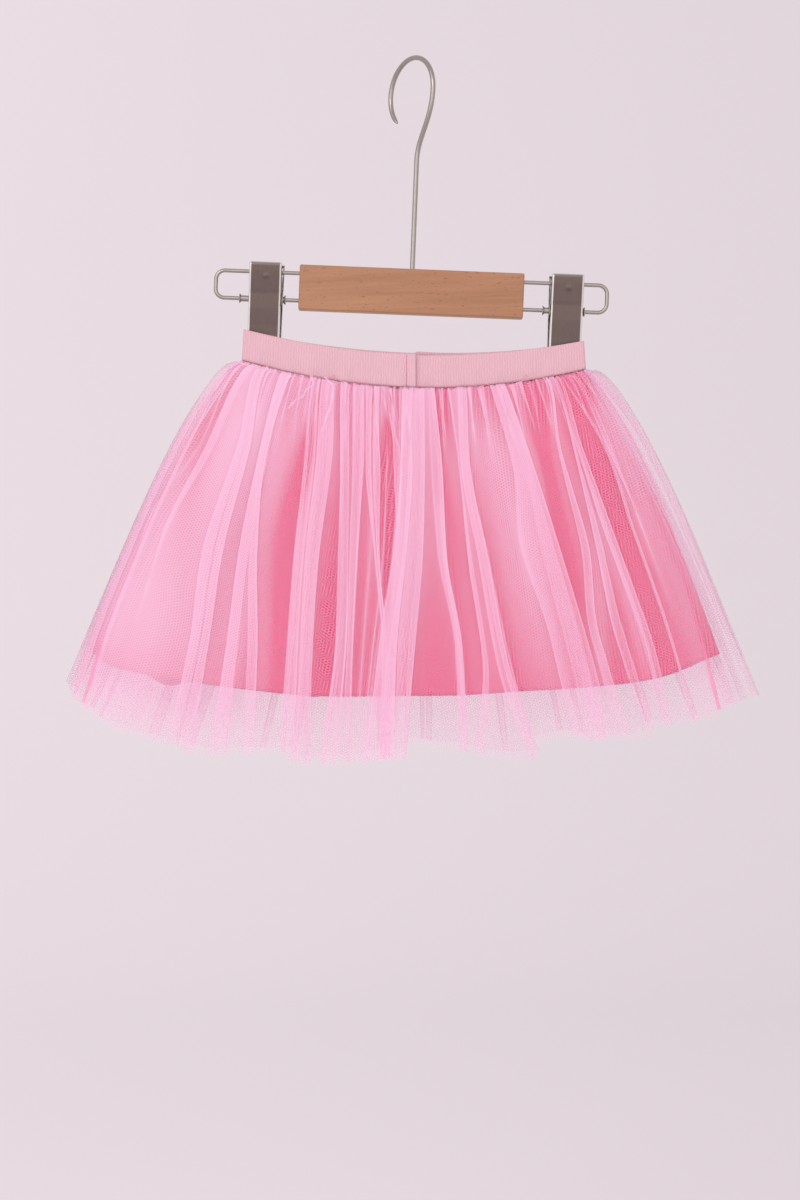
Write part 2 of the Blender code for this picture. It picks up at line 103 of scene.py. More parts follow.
# across, above the pivot, radius, depth
PLATE_DIMPLE = (0.0008, 0.0165, 0.0016, 0.0006)

# Waistband and skirt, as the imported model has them
BAND_HALF = 0.1262
BAND_X = 0.0006
BAND_DEPTH = 0.0045
BAND_BULGE = 0.003
BAND_EDGES = {False: (-0.2017, -0.2102, 0.0144), True: (-0.2244, -0.2309, 0.0170)}
BACK_SAG_EASE = 0.0022
LAP_UNDER_X = -0.008
LAP_OVER_X = 0.00185
LAP_RISE = 0.0019
LAP_RAMP = (4.86, 4.945)
MID_Y = BAR_Y - BAND_DEPTH
BAND_SEAM = 0.0004
PUFF_SHARPNESS = 6
PUFF_LIFT = 0.4
PUFF_LIFT_FADES = 0.08
FULL_DROP = 0.272
# columns: drop below the band, half depth, flat share of the width, squareness of the ends, front bulge
DEPTH_ROWS = (
    (0.000, 0.0045, 0.972, 4.0, 0.0030),
    (0.012, 0.0060, 0.930, 3.4, 0.0028),
    (0.030, 0.0090, 0.800, 2.8, 0.0022),
    (0.080, 0.0135, 0.500, 2.2, 0.0010),
    (0.160, 0.0185, 0.250, 2.0, 0.0000),
    (0.280, 0.0240, 0.100, 2.0, 0.0000),
)
# columns: place across (-1 left end, 1 right end), tulle length, lining length
HEM_ROWS = (
    (-1.00, 0.267, 0.240),
    (-0.93, 0.279, 0.246),
    (-0.80, 0.283, 0.243),
    (-0.60, 0.283, 0.237),
    (-0.30, 0.282, 0.231),
    (0.00, 0.272, 0.226),
    (0.30, 0.270, 0.226),
    (0.55, 0.268, 0.230),
    (0.80, 0.271, 0.235),
    (1.00, 0.269, 0.231),
)
TULLE_HEM, LINING_HEM = 1, 2
# The net's raw edge is cut by eye.  Columns: place across, millimetres longer than the row above says
HEM_TRIM = (
    (-1.00, 0), (-0.90, 2), (-0.83, 4), (-0.70, 4.5), (-0.66, 1), (-0.60, 4.5),
    (-0.49, -1.5), (-0.41, -5), (-0.36, -8.5), (-0.33, -3), (-0.03, -3), (-0.01, -11),
    (0.06, -8.5), (0.15, -5), (0.20, 0), (0.30, 4.5), (0.34, 4), (0.36, -5),
    (0.43, -6.5), (0.47, -5), (0.50, 0), (0.56, -1), (0.63, 4.5), (0.66, 4),
    (0.69, -3), (0.77, 0), (0.85, 3), (0.94, 0), (1.00, 0),
)
# columns: where the fold leaves the band, where it meets the hem, its half width there, its height there
FRONT_FOLDS = (
    (-0.1190, -0.2150, 0.020, 0.006),
    (-0.1030, -0.1760, 0.013, 0.009),
    (-0.0860, -0.1350, 0.012, 0.004),
    (-0.0660, -0.0870, 0.012, 0.009),
    (-0.0510, -0.0560, 0.008, 0.005),
    (-0.0300, -0.0330, 0.008, 0.004),
    (0.0000, -0.0090, 0.016, 0.011),
    (0.0210, 0.0370, 0.008, 0.004),
    (0.0330, 0.0800, 0.012, 0.009),
    (0.0560, 0.1090, 0.010, 0.004),
    (0.0780, 0.1400, 0.011, 0.007),
    (0.1000, 0.1650, 0.010, 0.008),
    (0.1160, 0.1980, 0.012, 0.006),
)
BACK_FOLDS = (
    (-0.1120, -0.2020, 0.015, 0.008),
    (-0.0900, -0.1540, 0.012, 0.006),
    (-0.0640, -0.1120, 0.013, 0.009),
    (-0.0420, -0.0660, 0.010, 0.005),
    (-0.0150, -0.0250, 0.014, 0.009),
    (0.0120, 0.0240, 0.010, 0.005),
    (0.0380, 0.0700, 0.013, 0.009),
    (0.0640, 0.1190, 0.011, 0.006),
    (0.0900, 0.1640, 0.014, 0.009),
    (0.1120, 0.2060, 0.013, 0.006),
)
FOLD_WIDTH_AT_BAND = 0.45
FOLD_FADE_NEAR_SIDE = 3.0
# How far each layer stands off at the band and at the hem, how it puffs out at the sides, how far its left
# and right edges lean, in degrees, and its share of the folds
Layer = namedtuple("Layer", "off_band off_hem puff puff_power lean_left lean_right folds")
TULLE_OUTER = Layer(0.0026, 0.0060, 0.0172, 0.50, 27.7, 27.0, 1.0)
TULLE_UNDER = Layer(0.0010, 0.0004, 0.0118, 0.80, 28.0, 26.0, 0.5)
LINING = Layer(-0.0010, -0.0030, 0.0105, 0.82, 28.0, 25.1, 0.2)
SHORTS = Layer(-0.0024, -0.0130, 0.0, 1.00, 6.5, 6.5, 0.0)
TULLE_SEAMS = ((0.20, 0.19, 0.19, 0.20, 0.25), (1.77, 1.80, 1.79, 1.73, 1.673))
UNDER_SEAMS = ((0.22,) * 5, (1.72,) * 5)
LINING_SEAMS = (0.14, 1.86)
SEAM_GAP = 0.0003
# columns: drop below the band, inner edge from the middle, how far the leg has closed under the crotch
SHORTS_ROWS = (
    (0.000, 0.00015, 0.0),
    (0.100, 0.00015, 0.0),
    (0.137, 0.00015, 0.0),
    (0.150, 0.00150, 0.6),
    (0.158, 0.00300, 1.0),
    (0.176, 0.00600, 1.0),
    (0.195, 0.00900, 1.0),
)
SHORTS_LEG_SQUARENESS = 0.6

# Pleats, in millimetres from the middle.  R laps its fold edge over to the right and L to
# the left.  Each has its fold edge, then its hidden edge, at five heights from the band to the hem, and
# how far it stands off at the band and at the hem.
ROWS_AT = (0.0, 0.22, 0.45, 0.72, 1.0)
OUTER_PLEATS = (
    ("L", (-122, -153, -189, -213, -235), (-120, -155, -192, -217, -240), 1, 0.3),
    ("L", (-117.5, -150, -180, -200, -222), (-113.5, -144.5, -177, -203, -226), 1.3, 0.3),
    ("L", (-112, -129, -150.5, -161.5, -177.5), (-109, -124.5, -143.5, -155, -170.5), 0.8, 2.4),
    ("R", (-106, -119.5, -136.5, -149, -161.5), (-108.5, -124, -142.5, -154, -169.5), 0.8, 2.4),
    ("L", (-96, -113, -126, -136, -147), (-91.5, -106, -119, -128, -136), 1.2, 1.5),
    ("R", (-89, -107, -113, -113.5, -115.5), (-93, -112, -119, -120.5, -124), 1, 1.8),
    ("L", (-73.5, -79, -86, -91, -95.5), (-68, -72, -79, -83.5, -86.5), 1.3, 2.7),
    ("R", (-57.5, -59.5, -68.5, -74, -76), (-67, -71, -78, -82, -85), 1.3, 2.7),
    ("L", (-53, -53, -52.5, -56, -66), (-46.5, -47, -47.5, -49, -56.5), 1, 2.4),
    ("R", (-35.5, -36, -40.5, -44.5, -46), (-44, -44.5, -46.5, -48.5, -53), 1, 1.8),
    ("L", (-33.5, -34.5, -28.5, -22.5, -24), (-29.5, -30.5, -27, -21, -22.5), 0.9, 0.6),
    ("R", (-24.5, -25, -25, -19, -19.5), (-28.5, -29.5, -26.5, -20.5, -22), 0.9, 0.6),
    ("L", (-20.5, -12.5, -11, -19, -20.5), (-17.5, -10, -9, -17, -17.5), 0.8, 0.6),
    ("L", (-8, -9, -14, -26, -35), (-2, -3, -6, -12.5, -15), 1.3, 3.6),
    ("R", (8, 8, 6.5, 0.5, -6.5), (-1.5, -2.5, -5, -11.5, -14), 1.3, 3.6),
    ("R", (15.5, 21.5, 24.5, 35.5, 39.5), (10.5, 13, 17.5, 30.5, 33.5), 1, 2.1),
    ("R", (27, 34.5, 42.5, 54, 51.5), (25.5, 33.5, 39.5, 50, 44.5), 0.7, 1.2),
    ("L", (32.5, 35.5, 47.5, 60.5, 83.5), (39, 42, 54, 67.5, 91), 1.3, 2.7),
    ("R", (67.5, 87, 105, 125, 144), (56.5, 72, 77.5, 99.5, 116), 1.3, 2.7),
    ("R", (99, 109.5, 127, 136, 158.5), (97.5, 107, 121.5, 129.5, 149.5), 0.7, 1.5),
    ("L", (101.5, 117.5, 130.5, 146.5, 168.5), (103.5, 120, 136, 152.5, 175), 0.9, 2.1),
    ("R", (106, 125, 146.5, 171, 189), (104.5, 121, 139.5, 165, 182.5), 1.2, 2.4),
    ("L", (113, 142, 168, 194, 212), (116, 146, 167, 191, 208), 1, 0.3),
)
UNDER_PLEATS = (
    ("L", (-76, -80, -86, -91, -95), (-73.2, -77.2, -83, -87.8, -93.2), 0.7, 1.5),
    ("R", (-58, -61, -69, -75, -77), (-60.4, -63.6, -71.8, -77.4, -78.6), 0.7, 1.5),
    ("L", (-53, -53.5, -53, -56.5, -66.5), (-50.2, -50.7, -50.2, -52.5, -64), 0.7, 1.2),
    ("R", (-36.5, -37, -40, -44, -46), (-38.7, -39.4, -42, -44.8, -47.4), 0.7, 0.9),
    ("L", (-10, -11, -15.5, -28, -37), (-7.6, -8.2, -11.3, -22, -33.2), 0.7, 1.5),
    ("R", (9, 9, 7, 1, -5), (5.8, 5.4, 3, -3.4, -7), 0.7, 1.5),
    ("R", (16, 21, 24, 35, 39), (13.6, 17.8, 21.2, 32.2, 37.4), 0.7, 0.9),
    ("L", (36, 38, 50, 64, 86), (38.8, 42, 54.8, 69.6, 89), 0.7, 1.2),
    ("R", (66, 85, 102, 122, 140), (61.6, 79, 94.8, 114, 135.8), 0.7, 1.2),
    ("R", (103, 123, 144, 168, 186), (101.8, 121, 140.8, 164, 183.8), 0.7, 1.2),
    ("L", (108, 140, 160, 184, 205), (109.2, 142.4, 162.4, 186.4, 206.4), 0.7, 0.6),
)
# Where more net lies than the pleats give, or less: the line's way down, its half width, how many layers
BUNCHED = (
    ((-126, -166, -198, -222, -240), 19, (1, 2.5, 6, 10, 0.5)),
    ((-110, -140, -170, -188, -205), 20, (1, 4.5, 5.5, 7.5, 0.6)),
    ((-105, -126, -144, -158, -170), 14, (2, 3.5, 4, 4.5, 0.4)),
    ((-97, -106, -120, -131, -142), 10, (0.4, 2.2, 2.5, 4, 0.2)),
    ((-128, -151, -170, -190, -205), 9, (0, -2.2, -1, 0, 0)),
    ((-80, -96, -108, -112, -116), 9, (0, 0.4, 0.8, 1.6, 0.1)),
    ((-69, -80, -94, -98, -100), 8, (0, -1.6, -1.2, -0.5, 0)),
    ((-62, -69, -77, -82, -86), 7, (0.8, 2.2, 3, 3, 0.4)),
    ((-44, -45, -46, -50, -56), 6, (0.4, 0.2, 0.5, 0.5, 0.2)),
    ((-28.5, -29.5, -27.5, -21, -23), 3, (0.3, 1, 1.5, 1.5, 0.2)),
    ((-18, -18, -19, -20, -26), 4, (-0.5, -2, -1.2, -0.3, 0)),
    ((0, -1, -4, -13, -21), 11, (0.5, 1.5, 2.3, 2.3, 0.3)),
    ((19, 20, 29, 28, 30), 5, (-2.5, -1.4, -0.5, 0, 0)),
    ((13, 18, 22, 33, 37), 3.5, (0, 0.8, 1.5, 1.5, 0.2)),
    ((48, 65, 78, 93, 114), 17, (-0.6, 3.3, 3.4, 2.4, 0.3)),
    ((85, 96, 109, 128, 146), 6, (-3, -2, -1, -0.4, 0)),
    ((107, 120, 134, 136, 146), 7, (-4, -0.6, 1.2, 2.4, 0.2)),
    ((100, 120, 140, 162, 178), 6, (0, 0, 1.5, 2.4, 0.2)),
    ((119, 134, 153, 182, 196), 9, (-4, -1.8, -0.8, 0, 0)),
    ((124, 155, 175, 205, 219), 12, (0.5, 3.2, 2.2, 1.4, 0.1)),
)
# How much of that extra net the outer layer and the under layer take
OUTER_SHARE, UNDER_SHARE = 0.55, 0.5
# Raw edges that turn out of the gathers: millimetres across, down and out; and how many layers they read as
TURNED_EDGES = {
    "left": (
        (-74.5, -1, 3),
        (-73, 5, 4),
        (-78.5, 11, 4.5),
        (-81, 16, 4.5),
        (-87, 20, 4),
        (-91.5, 27, 3.2),
    ),
    "right": (
        (-64.5, -1.5, 3),
        (-58.5, 6, 4),
        (-59.5, 14.5, 4.5),
        (-63, 25.5, 4.2),
        (-66.5, 36, 3.5),
        (-67.2, 40, 3),
    ),
}
TURNED_LAYERS = 4
TURNED_WIDTH = 0.0016
# Gathers, ripples and the curled top of the net; pitches are in millimetres
GATHER_SPACING = 9.0
GATHER_HEIGHT = 1.2 * MM
GATHERS_OPEN_BY = 0.25
RIPPLES = (31, 17, 11)
RIPPLE_HEIGHT = 0.35 * MM
FINE_GATHERS = (61, 37, 19)
LIP_PUFFS = ((26, 0.9), (14, 0.7), (8.5, 0.5))
LIP_TURNS = (150, 115, 80, 45, 15)
LIP_RADIUS = 0.9 * MM
# the hem dips where a pleat stands off; and how softly the net is lit, over what width
HEM_DIP = 0.0016
BODY_WIDTH = 0.045
SOFTNESS = 0.75
# Loose ends of thread at the band's lower edge: millimetres across, down from the edge and out
LOOSE_THREADS = (
    ((-57.5, 2, 2), (-57.2, -0.5, 3), (-58.6, -2.5, 3.6), (-57.6, -4, 3.8)),
    ((-61, 1, 2), (-60.2, -1.5, 3.2), (-58.8, -2.4, 3.4)),
    ((80, 2, 2), (81.2, -2.5, 3.4), (83.4, -3.8, 3.8), (84.2, -1.6, 3.6)),
)

# The elastic's surface: how far its stitch line, its turned end, the gathers and the rolled edges move it,
# how its top edge sags at the back and the front right of the lap, and how much narrower it is there
STITCH_X = -0.0047
STITCH_GROOVE = -0.0004
LAP_TURNED = 0.0005
GATHER_PULL = 0.0004
EDGE_ROLL = -0.0003
BAND_SAG = (0.0014, -0.0011)
BAND_TAPER = 0.010
LOOSE_THREAD_SHARE = 0.7
# Side seams: layers of net on the left and the right, stand-off, width, and how much wider they fray low down
SEAM_LAYERS = (4, 6)
SEAM_OFF = 0.0008
SEAM_WIDTH = 0.0009
SEAM_FRAY = 0.0021
SEAM_FRAYS_FROM = 0.84
# Where the back lining's hem hangs below the front's: middle, half width, how far
LINING_BACK_DIPS = ((-0.181, 0.014, 0.0075), (-0.074, 0.012, 0.0045), (0.118, 0.020, 0.002))
LINING_GAP = 0.0008
FLUTE_HEIGHT = 0.0012
SHORTS_MEASURED_ROW = 30
UV_MARGIN = 0.02

# Stage.  Lamps: name, place, share of their power, size
FLOOR_Z = -1.15
SWEEP_RADIUS = 3.6
SWEEP_CORNER = 1.0
SWEEP_TOP = 2.4
LAMPS = (
    ("key", (-1.5, -2.1, 0.6), 0.85, 2.6),
    ("fill", (0.7, -2.5, 0.3), 0.5, 2.4),
    ("glint", (-0.9, -2.0, 0.9), 0.15, 0.5),
)
LAMPS_AIM = (0, 0, -0.35)
ROOM_TINT = (1.0, 0.965, 0.975)
NET_LAYERS_SEEN_THROUGH = 96


def srgb(text):
    """An sRGB colour such as #F08AB0, as linear red, green and blue."""
    parts = [int(text[i : i + 2], 16) / 255 for i in (1, 3, 5)]
    return tuple(c / 12.92 if c <= 0.04045 else ((c + 0.055) / 1.055) ** 2.4 for c in parts)


def length_prop(name, what, default):
    return FloatProperty(name=name, description=what, default=default, min=0.0, unit="LENGTH", precision=5)


def colour_prop(name, what, text):
    return FloatVectorProperty(
        name=name, description=what, default=srgb(text), size=3, min=0.0, max=1.0, subtype="COLOR"
    )


class SkortCloth(PropertyGroup):
    tulle_cover: FloatProperty(
        name="Net cover",
        description="Share of the light that one flat layer of net stops",
        default=0.175,
        min=0.0,
        max=1.0,
        subtype="FACTOR",
    )
    net_pitch: length_prop("Net pitch", "Distance between the net's holes", 0.0021)
    column_step: length_prop("Column step", "Width of cloth between two columns of the net's mesh", 0.0014)
    net_rows: IntProperty(name="Net rows", description="Rows of the net's mesh", default=54)
    lining_wall: length_prop("Lining thickness", "Thickness of the woven lining", 0.0006)
    band_wall: length_prop("Elastic thickness", "Thickness of the ribbed elastic", 0.0015)
    jersey_wall: length_prop("Jersey thickness", "Thickness of the shorts' knit", 0.0009)
    thread: length_prop("Thread", "Diameter of the sewing thread", 0.0005)
    tulle_colour: colour_prop("Tulle", "Colour of the net's threads", "#F1C1DB")
    lining_colour: colour_prop("Lining", "Colour of the woven lining", "#E54A7B")
    jersey_colour: colour_prop("Jersey", "Colour of the shorts", "#F08AB0")
    band_colour: colour_prop("Elastic", "Colour of the elastic", "#E3B3BF")
    stitch_colour: colour_prop("Stitching", "Colour of the stitching and loose threads", "#D892A6")
    seam_colour: colour_prop("Seams", "Colour of the seam strips and threads", "#F08DB3")


class SkortHanger(PropertyGroup):
    hook_wire: length_prop("Hook wire", "Diameter of the hook's wire", 0.0037)
    loop_wire: length_prop("Loop wire", "Diameter of the wire loops", 0.003)
    spring_wire: length_prop("Spring wire", "Diameter of the clips' springs", 0.0009)
    bar_length: length_prop("Bar length", "Length of the wooden bar", 0.166)
    bar_depth: length_prop("Bar depth", "Thickness of the wooden bar", 0.012)
    bar_height: length_prop("Bar height", "Height of the wooden bar", 0.0332)
    bar_ease: length_prop("Eased edges", "Radius of the bar's edges", 0.0012)
    clip_width: length_prop("Clip width", "Width of a clip's plate", 0.0240)
    clip_sheet: length_prop("Clip sheet", "Thickness of the clips' steel", 0.0008)
    wood_colour: colour_prop("Wood", "Colour of the bar", "#B27F60")
    grain_colour: colour_prop("Grain", "Colour of the bar's darker grain", "#9C6A4A")
    wire_colour: colour_prop("Nickel", "Colour of the plated wire", "#A89E99")
    # the clips' faces take a dark colour that paints the dark reflection of a plated face, and their edges a
    # pale one that paints their highlights
    dark_reflection_colour: colour_prop("Clip face", "Colour of the clips' faces", "#695A57")
    rim_colour: colour_prop("Clip rim", "Colour of the clips' polished edges", "#E6E1DE")


class SkortStage(PropertyGroup):
    backdrop_colour: colour_prop("Backdrop", "Colour of the floor and the sweep behind", "#F2E9EE")
    light_strength: FloatProperty(
        name="Soft light", description="Strength of the light all round", default=0.87
    )
    key_power: FloatProperty(
        name="Lamps", description="Power that the lamps share", default=23.0, unit="POWER"
    )
    camera_distance: length_prop("Camera distance", "From the camera to the skort", 1.727)
    camera_height: FloatProperty(
        name="Camera height", description="Height of the camera", default=-0.401, unit="LENGTH"
    )
    camera_side: FloatProperty(
        name="Camera side", description="Distance of the camera to the right", default=-0.0096, unit="LENGTH"
    )
    lens: FloatProperty(name="Lens", description="Focal length", default=70.0, unit="CAMERA")


class SkortSettings(PropertyGroup):
    cloth: PointerProperty(name="Cloth", description="Sizes and colours of the cloth", type=SkortCloth)
    hanger: PointerProperty(name="Hanger", description="Sizes and colours of the hanger", type=SkortHanger)
    stage: PointerProperty(name="Stage", description="Backdrop, lamps and camera", type=SkortStage)


# ---- small helpers ----


def set_inputs(tree, node, inputs):
    """Set a node's inputs: a socket is linked, and anything else is a value."""
    for key, value in inputs.items():
        socket = node.inputs[key]
        if isinstance(value, bpy.types.NodeSocket):
            tree.links.new(value, socket)
        else:
            socket.default_value = (*value, 1.0) if socket.type == "RGBA" else value


def add_node(tree, kind, inputs=None, output=0, **settings):
    """Add a node with its settings and links, and give one of its outputs."""
    made = tree.nodes.new(f"ShaderNode{kind}")
    for key, value in settings.items():
        setattr(made, key, value)
    set_inputs(tree, made, inputs or {})
    return made.outputs[output]


def new_material(name):
    """An empty material, its tree and its Principled shader."""
    made = bpy.data.materials.new(name)
    made.use_nodes = True
    return made, made.node_tree, made.node_tree.nodes["Principled BSDF"]


def toned(colour, share):
    """The colour, darker or lighter by that share."""
    return tuple(min(1.0, c * share) for c in colour)


def settings():
    return bpy.context.scene.skort


def add_piece(name, mesh, look, slot, nodes=()):
    """Put a finished mesh in the scene as a piece of the part, standing for those CAD nodes."""
    piece = bpy.data.objects.new(name, mesh)
    bpy.context.scene.collection.objects.link(piece)
    mesh.materials.clear()
    mesh.materials.append(look)
    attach(piece, "root")
    # clear yarn passes on most of the light that it stops, so the net doesn't darken what it lies on
    piece.visible_shadow = slot != "tulle"
    if nodes:
        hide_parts(*nodes)
    return piece


def add_shell(piece, wall):
    """Give a piece its thickness, half to each side of its mesh."""
    shell = piece.modifiers.new("wall", "SOLIDIFY")
    shell.thickness = wall
    shell.offset = 0.0


def add_hanger_piece(name, mesh, look, slot, node):
    """Put a piece of the hanger in the scene: built level, then tilted as the hanger hangs."""
    mesh.transform(Matrix.Rotation(HANGER_TILT, 4, "Y"))
    return add_piece(name, mesh, look, slot, [node])


def wire_mesh(name, points, diameter, sides, radii=None):
    """A wire along a chain of points, as a mesh."""
    curve = bpy.data.curves.new(name, "CURVE")
    curve.dimensions = "3D"
    curve.bevel_depth = diameter / 2
    curve.bevel_resolution = sides
    curve.use_fill_caps = True
    spline = curve.splines.new("POLY")
    spline.points.add(len(points) - 1)
    for i, (knot, point) in enumerate(zip(spline.points, points)):
        knot.co = (*point, 1.0)
        if radii is not None:
            knot.radius = radii[i]
    spline.use_smooth = True
    bare = bpy.data.objects.new(name, curve)
    mesh = bpy.data.meshes.new_from_object(bare)
    bpy.data.objects.remove(bare)
    bpy.data.curves.remove(curve)
    mesh.name = name
    mesh.shade_smooth()
    return mesh


def finished(name, bm):
    """The mesh that a bmesh has built up."""
    mesh = bpy.data.meshes.new(name)
    bm.to_mesh(mesh)
    bm.free()
    return mesh


def spun(bm, profile, axis, steps):
    """Turn a profile all the way round an axis through the origin."""
    bmesh.ops.spin(
        bm, geom=profile, cent=(0, 0, 0), axis=axis, angle=2 * math.pi, steps=steps, use_merge=True
    )
    bmesh.ops.remove_doubles(bm, verts=bm.verts, dist=1e-5)
    bmesh.ops.recalc_face_normals(bm, faces=bm.faces)


def corners(mesh):
    """The vertex of each corner of each face."""
    corner = np.zeros(len(mesh.loops), np.int32)
    mesh.loops.foreach_get("vertex_index", corner)
    return corner


def surface(name, place, uv=None, **values):
    """A smooth grid laid to place[:, row, column], with its UV and point attributes laid the same way.

    Gives the mesh, and each vertex's row and column.
    """
    rows, columns = place.shape[1] - 1, place.shape[2] - 1
    bm = bmesh.new()
    bm.loops.layers.uv.new("UVMap")
    bmesh.ops.create_grid(bm, x_segments=columns, y_segments=rows, size=0.5, calc_uvs=True)
    mesh = finished(name, bm)
    mesh.shade_smooth()
    flat = np.zeros(len(mesh.vertices) * 3, np.float32)
    mesh.vertices.foreach_get("co", flat)
    flat = flat.reshape(-1, 3)
    at = np.rint((0.5 - flat[:, 1]) * rows).astype(int), np.rint((flat[:, 0] + 0.5) * columns).astype(int)
    mesh.vertices.foreach_set("co", place[:, *at].T.astype(np.float32).ravel())
    if uv is not None:
        laid = uv[:, *at].T[corners(mesh)].astype(np.float32)
        mesh.uv_layers[0].data.foreach_set("uv", laid.ravel())
    for key, value in values.items():
        layer = mesh.attributes.new(key, "FLOAT", "POINT")
        layer.data.foreach_set("value", value[at].astype(np.float32))
    mesh.update()
    return mesh, at


def soften_normals(mesh, at, out):
    """Light the net as round yarns are lit: mostly by the way the body faces, not by each small fold."""
    count = len(mesh.loops)
    own = np.zeros(count * 3, np.float32)
    mesh.corner_normals.foreach_get("vector", own)
    own = own.reshape(-1, 3)
    flat = np.zeros(len(mesh.polygons) * 3, np.float32)
    mesh.polygons.foreach_get("normal", flat)
    total = np.zeros(len(mesh.polygons), np.int32)
    mesh.polygons.foreach_get("loop_total", total)
    flat = np.repeat(flat.reshape(-1, 3), total, axis=0)
    way = out[:, *at].T[corners(mesh)]
    side = np.where((way * flat).sum(axis=1) < 0, -1.0, 1.0)[:, None]
    soft = way * side * SOFTNESS + own * (1 - SOFTNESS)
    soft /= np.maximum(np.linalg.norm(soft, axis=1), 1e-6)[:, None]
    mesh.normals_split_custom_set([tuple(n) for n in soft.tolist()])


def evened_out(ways, reach):
    """Directions averaged over `reach` columns to each side: they follow the body and not its folds."""
    total = np.cumsum(np.pad(ways, ((0, 0), (0, 0), (reach + 1, reach)), mode="edge"), axis=2)
    mean = total[:, :, 2 * reach + 1 :] - total[:, :, : -2 * reach - 1]
    return mean / np.linalg.norm(mean, axis=0)


# ---- the skirt's form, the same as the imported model's ----


def table(rows, key, index):
    return np.interp(key, [row[0] for row in rows], [row[index] for row in rows])


def hem_length(across, index):
    """Length of the cloth below the band, smooth from end to end."""
    rows, trim = np.array(HEM_ROWS), np.array(HEM_TRIM)
    across = np.asarray(across, float)
    length = smooth_curve(rows[:, 0], rows[None, :, index], across.ravel())[0]
    if index == TULLE_HEM:
        length = length + smooth_curve(trim[:, 0], trim[None, :, 1] * MM, across.ravel())[0]
    return length.reshape(across.shape)


def band_edge(across, lower, back):
    """Height of the waistband's upper or lower edge."""
    left, right, sag = BAND_EDGES[lower]
    sag = sag - BACK_SAG_EASE * back
    return left + (right - left) * (across + 1) / 2 - sag * (1 - across * across)


def around(tau):
    """Place across, and 1 at the back, for a place round the loop: 0 left, 1 front, 2 right, 3 back."""
    turn = np.mod(tau, 4)
    back = turn > 2
    return np.sin(np.pi / 2 * np.where(back, 3 - turn, turn - 1)), back


def half_depth(across, drop, extra):
    """Distance of a wall from the loop's middle plane, with rounded ends."""
    flat = table(DEPTH_ROWS, drop, 2)
    square = table(DEPTH_ROWS, drop, 3)
    t = np.clip((np.abs(across) - flat) / (1 - flat), 0, 1)
    return (table(DEPTH_ROWS, drop, 1) + extra) * (1 - t**square) ** (1 / square)


def fold_height(rows, x, share):
    """Height of the largest folds, which grow from nothing at the band."""
    height = 0.0
    for at_band, at_hem, half_width, top in rows:
        middle = at_band + (at_hem - at_band) * share
        width = half_width * (FOLD_WIDTH_AT_BAND + (1 - FOLD_WIDTH_AT_BAND) * share)
        height = height + top * np.exp(-(((x - middle) / width) ** 2))
    return height * share


def away_from_sides(across):
    """1 over most of the width, fading to 0 at the two sides."""
    return np.minimum(1.0, FOLD_FADE_NEAR_SIDE * np.sqrt(np.maximum(0.0, 1 - across * across)))


def off_lean_puff(layer, across, share):
    """How far a layer stands off there, how it leans, and how far it puffs out at the sides."""
    off = layer.off_band + (layer.off_hem - layer.off_band) * share
    lean = across * np.radians(np.where(across < 0, layer.lean_left, layer.lean_right))
    return off, lean, layer.puff * np.sin(np.pi * np.minimum(share, 1.0) ** layer.puff_power)


def skirt_x(layer, across, drop):
    off, lean, puff = off_lean_puff(layer, across, drop / FULL_DROP)
    side = np.sign(across) * np.abs(across) ** PUFF_SHARPNESS
    return BAND_X + (BAND_HALF + off) * across + drop * np.sin(lean) + side * puff


def skirt_wall(layer, tau, drop):
    """Points of a skirt layer, that far along the cloth below the band."""
    across, back = around(tau)
    share = drop / FULL_DROP
    off, lean, puff = off_lean_puff(layer, across, share)
    x = skirt_x(layer, across, drop)
    lift = PUFF_LIFT * np.abs(across) ** PUFF_SHARPNESS * puff * np.exp(-share / PUFF_LIFT_FADES)
    under_band = np.clip(across * (1 + layer.off_band / BAND_HALF), -1, 1)
    z = band_edge(under_band, True, back) - BAND_SEAM - drop * np.cos(lean) + lift
    depth = half_depth(across, drop, off)
    folds = np.where(back, fold_height(BACK_FOLDS, x, share), fold_height(FRONT_FOLDS, x, share))
    depth = depth + layer.folds * away_from_sides(across) * folds
    bulge = np.where(back, 0.0, table(DEPTH_ROWS, drop, 4) * (1 - across * across))
    return np.stack((x, MID_Y + np.where(back, depth, -depth - bulge), z))


def outward(layer, tau, drop):
    """The level direction that points away from the body there, and how fast the wall runs round it."""
    step = 0.002
    run = skirt_wall(layer, tau + step, drop) - skirt_wall(layer, tau - step, drop)
    speed = np.maximum(np.hypot(run[0], run[1]), 1e-9)
    return np.stack((run[1] / speed, -run[0] / speed, np.zeros_like(speed))), speed / (2 * step)


def run_along(points):
    """How far along a chain of points each one lies."""
    return np.concatenate(([0], np.cumsum(np.sqrt((np.diff(points, axis=1) ** 2).sum(axis=0)))))


def smooth_curve(at, values, where):
    """Shape-keeping cubic through values at places, row by row: level at each turn, with no overshoot."""
    gap = np.diff(at)
    slope = np.diff(values, axis=1) / gap
    before, after = slope[:, :-1], slope[:, 1:]
    w1, w2 = 2 * gap[1:] + gap[:-1], gap[1:] + 2 * gap[:-1]
    same = before * after > 0
    safe_before = np.where(same, before, 1.0)
    safe_after = np.where(same, after, 1.0)
    inner = np.where(same, (w1 + w2) / (w1 / safe_before + w2 / safe_after), 0.0)
    tangent = np.concatenate((slope[:, :1], inner, slope[:, -1:]), axis=1)
    i = np.clip(np.searchsorted(at, where, side="right") - 1, 0, len(gap) - 1)
    t = (where - at[i]) / gap[i]
    h00, h10 = (1 + 2 * t) * (1 - t) ** 2, t * (1 - t) ** 2
    h01, h11 = t * t * (3 - 2 * t), t * t * (t - 1)
    here = h00 * values[:, i] + h10 * gap[i] * tangent[:, i]
    return here + h01 * values[:, i + 1] + h11 * gap[i] * tangent[:, i + 1]


